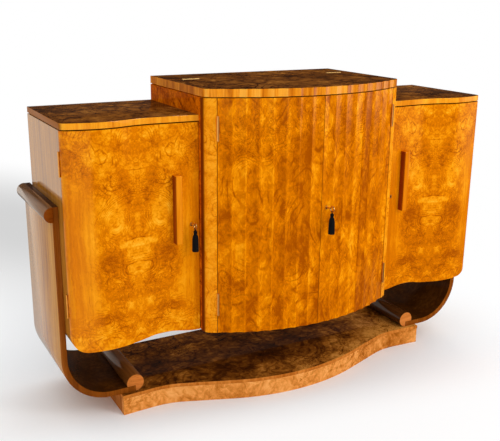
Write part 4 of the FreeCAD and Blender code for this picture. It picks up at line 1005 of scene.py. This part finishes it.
def run_along(bm, point, places):
    """Carries an outline through places given as (radius, height)."""
    for radius, height in places:
        point = drawn_run(bm, point, Vector((radius, 0, height)) - point.co)
    return point


def spun(bm, ring, axis, steps):
    """Carries a ring of points right round an axis."""
    edges = [edge for edge in bm.edges if all(vert in ring for vert in edge.verts)]
    bmesh.ops.spin(bm, geom=ring + edges, cent=(0, 0, 0), axis=axis,
                   angle=2 * math.pi, steps=steps, use_merge=True)


def threads_round(bm, places, count):
    """Round threads side by side along an outline given as (radius, height)."""
    ring = bmesh.ops.create_circle(bm, segments=5, radius=thread_radius, cap_ends=True)["verts"]
    faces = {face for vert in ring for face in vert.link_faces}
    bmesh.ops.translate(bm, verts=ring, vec=(places[0][0], 0, places[0][1]))
    thread = set(ring)
    last = places[0]
    for radius, height in places[1:]:
        grown = bmesh.ops.extrude_face_region(bm, geom=list(faces))["geom"]
        verts = [item for item in grown if isinstance(item, bmesh.types.BMVert)]
        faces = {item for item in grown if isinstance(item, bmesh.types.BMFace)}
        bmesh.ops.translate(bm, verts=verts, vec=(radius - last[0], 0, height - last[1]))
        thread.update(verts)
        last = (radius, height)
    faces = {face for vert in thread for face in vert.link_faces}
    bmesh.ops.spin(bm, geom=list(faces), cent=(0, 0, 0), axis=(0, 0, 1),
                   angle=2 * math.pi * (count - 1) / count, steps=count - 1, use_duplicate=True)


for side in ("left", "centre"):
    low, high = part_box(side + "_tassel")
    bm = bmesh.new()
    end = run_along(bm, begun(bm, (0, 0, 0)), core_profile)
    run_along(bm, end, [(0, core_profile[-1][1])])
    spun(bm, bm.verts[:], (0, 0, 1), steps=32)
    bmesh.ops.remove_doubles(bm, verts=bm.verts[:], dist=1e-6)
    threads_round(bm, [head_top] + core_profile[:3], count=24)
    skirt = [(radius + skirt_gap, height) for radius, height in core_profile[3:]]
    threads_round(bm, skirt + [skirt_end], count=72)
    threads_round(bm, inner_threads, count=36)
    for height in binding_turns:
        ring = bmesh.ops.create_circle(bm, segments=8, radius=binding_cord)["verts"]
        upright = Matrix.Rotation(math.pi / 2, 3, "X")
        bmesh.ops.rotate(bm, verts=ring, cent=(0, 0, 0), matrix=upright)
        bmesh.ops.translate(bm, verts=ring, vec=(binding_radius, 0, height))
        spun(bm, ring, (0, 0, 1), steps=32)
    bmesh.ops.translate(bm, verts=bm.verts[:], vec=(0, 0, -loop_radius))
    ring = bmesh.ops.create_circle(bm, segments=8, radius=loop_cord)["verts"]
    bmesh.ops.translate(bm, verts=ring, vec=(loop_radius, 0, 0))
    spun(bm, ring, (0, 1, 0), steps=24)
    hanging = Matrix.Translation((
        (low[0] + high[0]) / 2, (low[1] + high[1]) / 2, high[2] - loop_radius - loop_cord))
    made(bm, side + "_tassel_threads", side + "_tassel", side + "_tassel",
         [yarn], soft=0, placing=hanging)
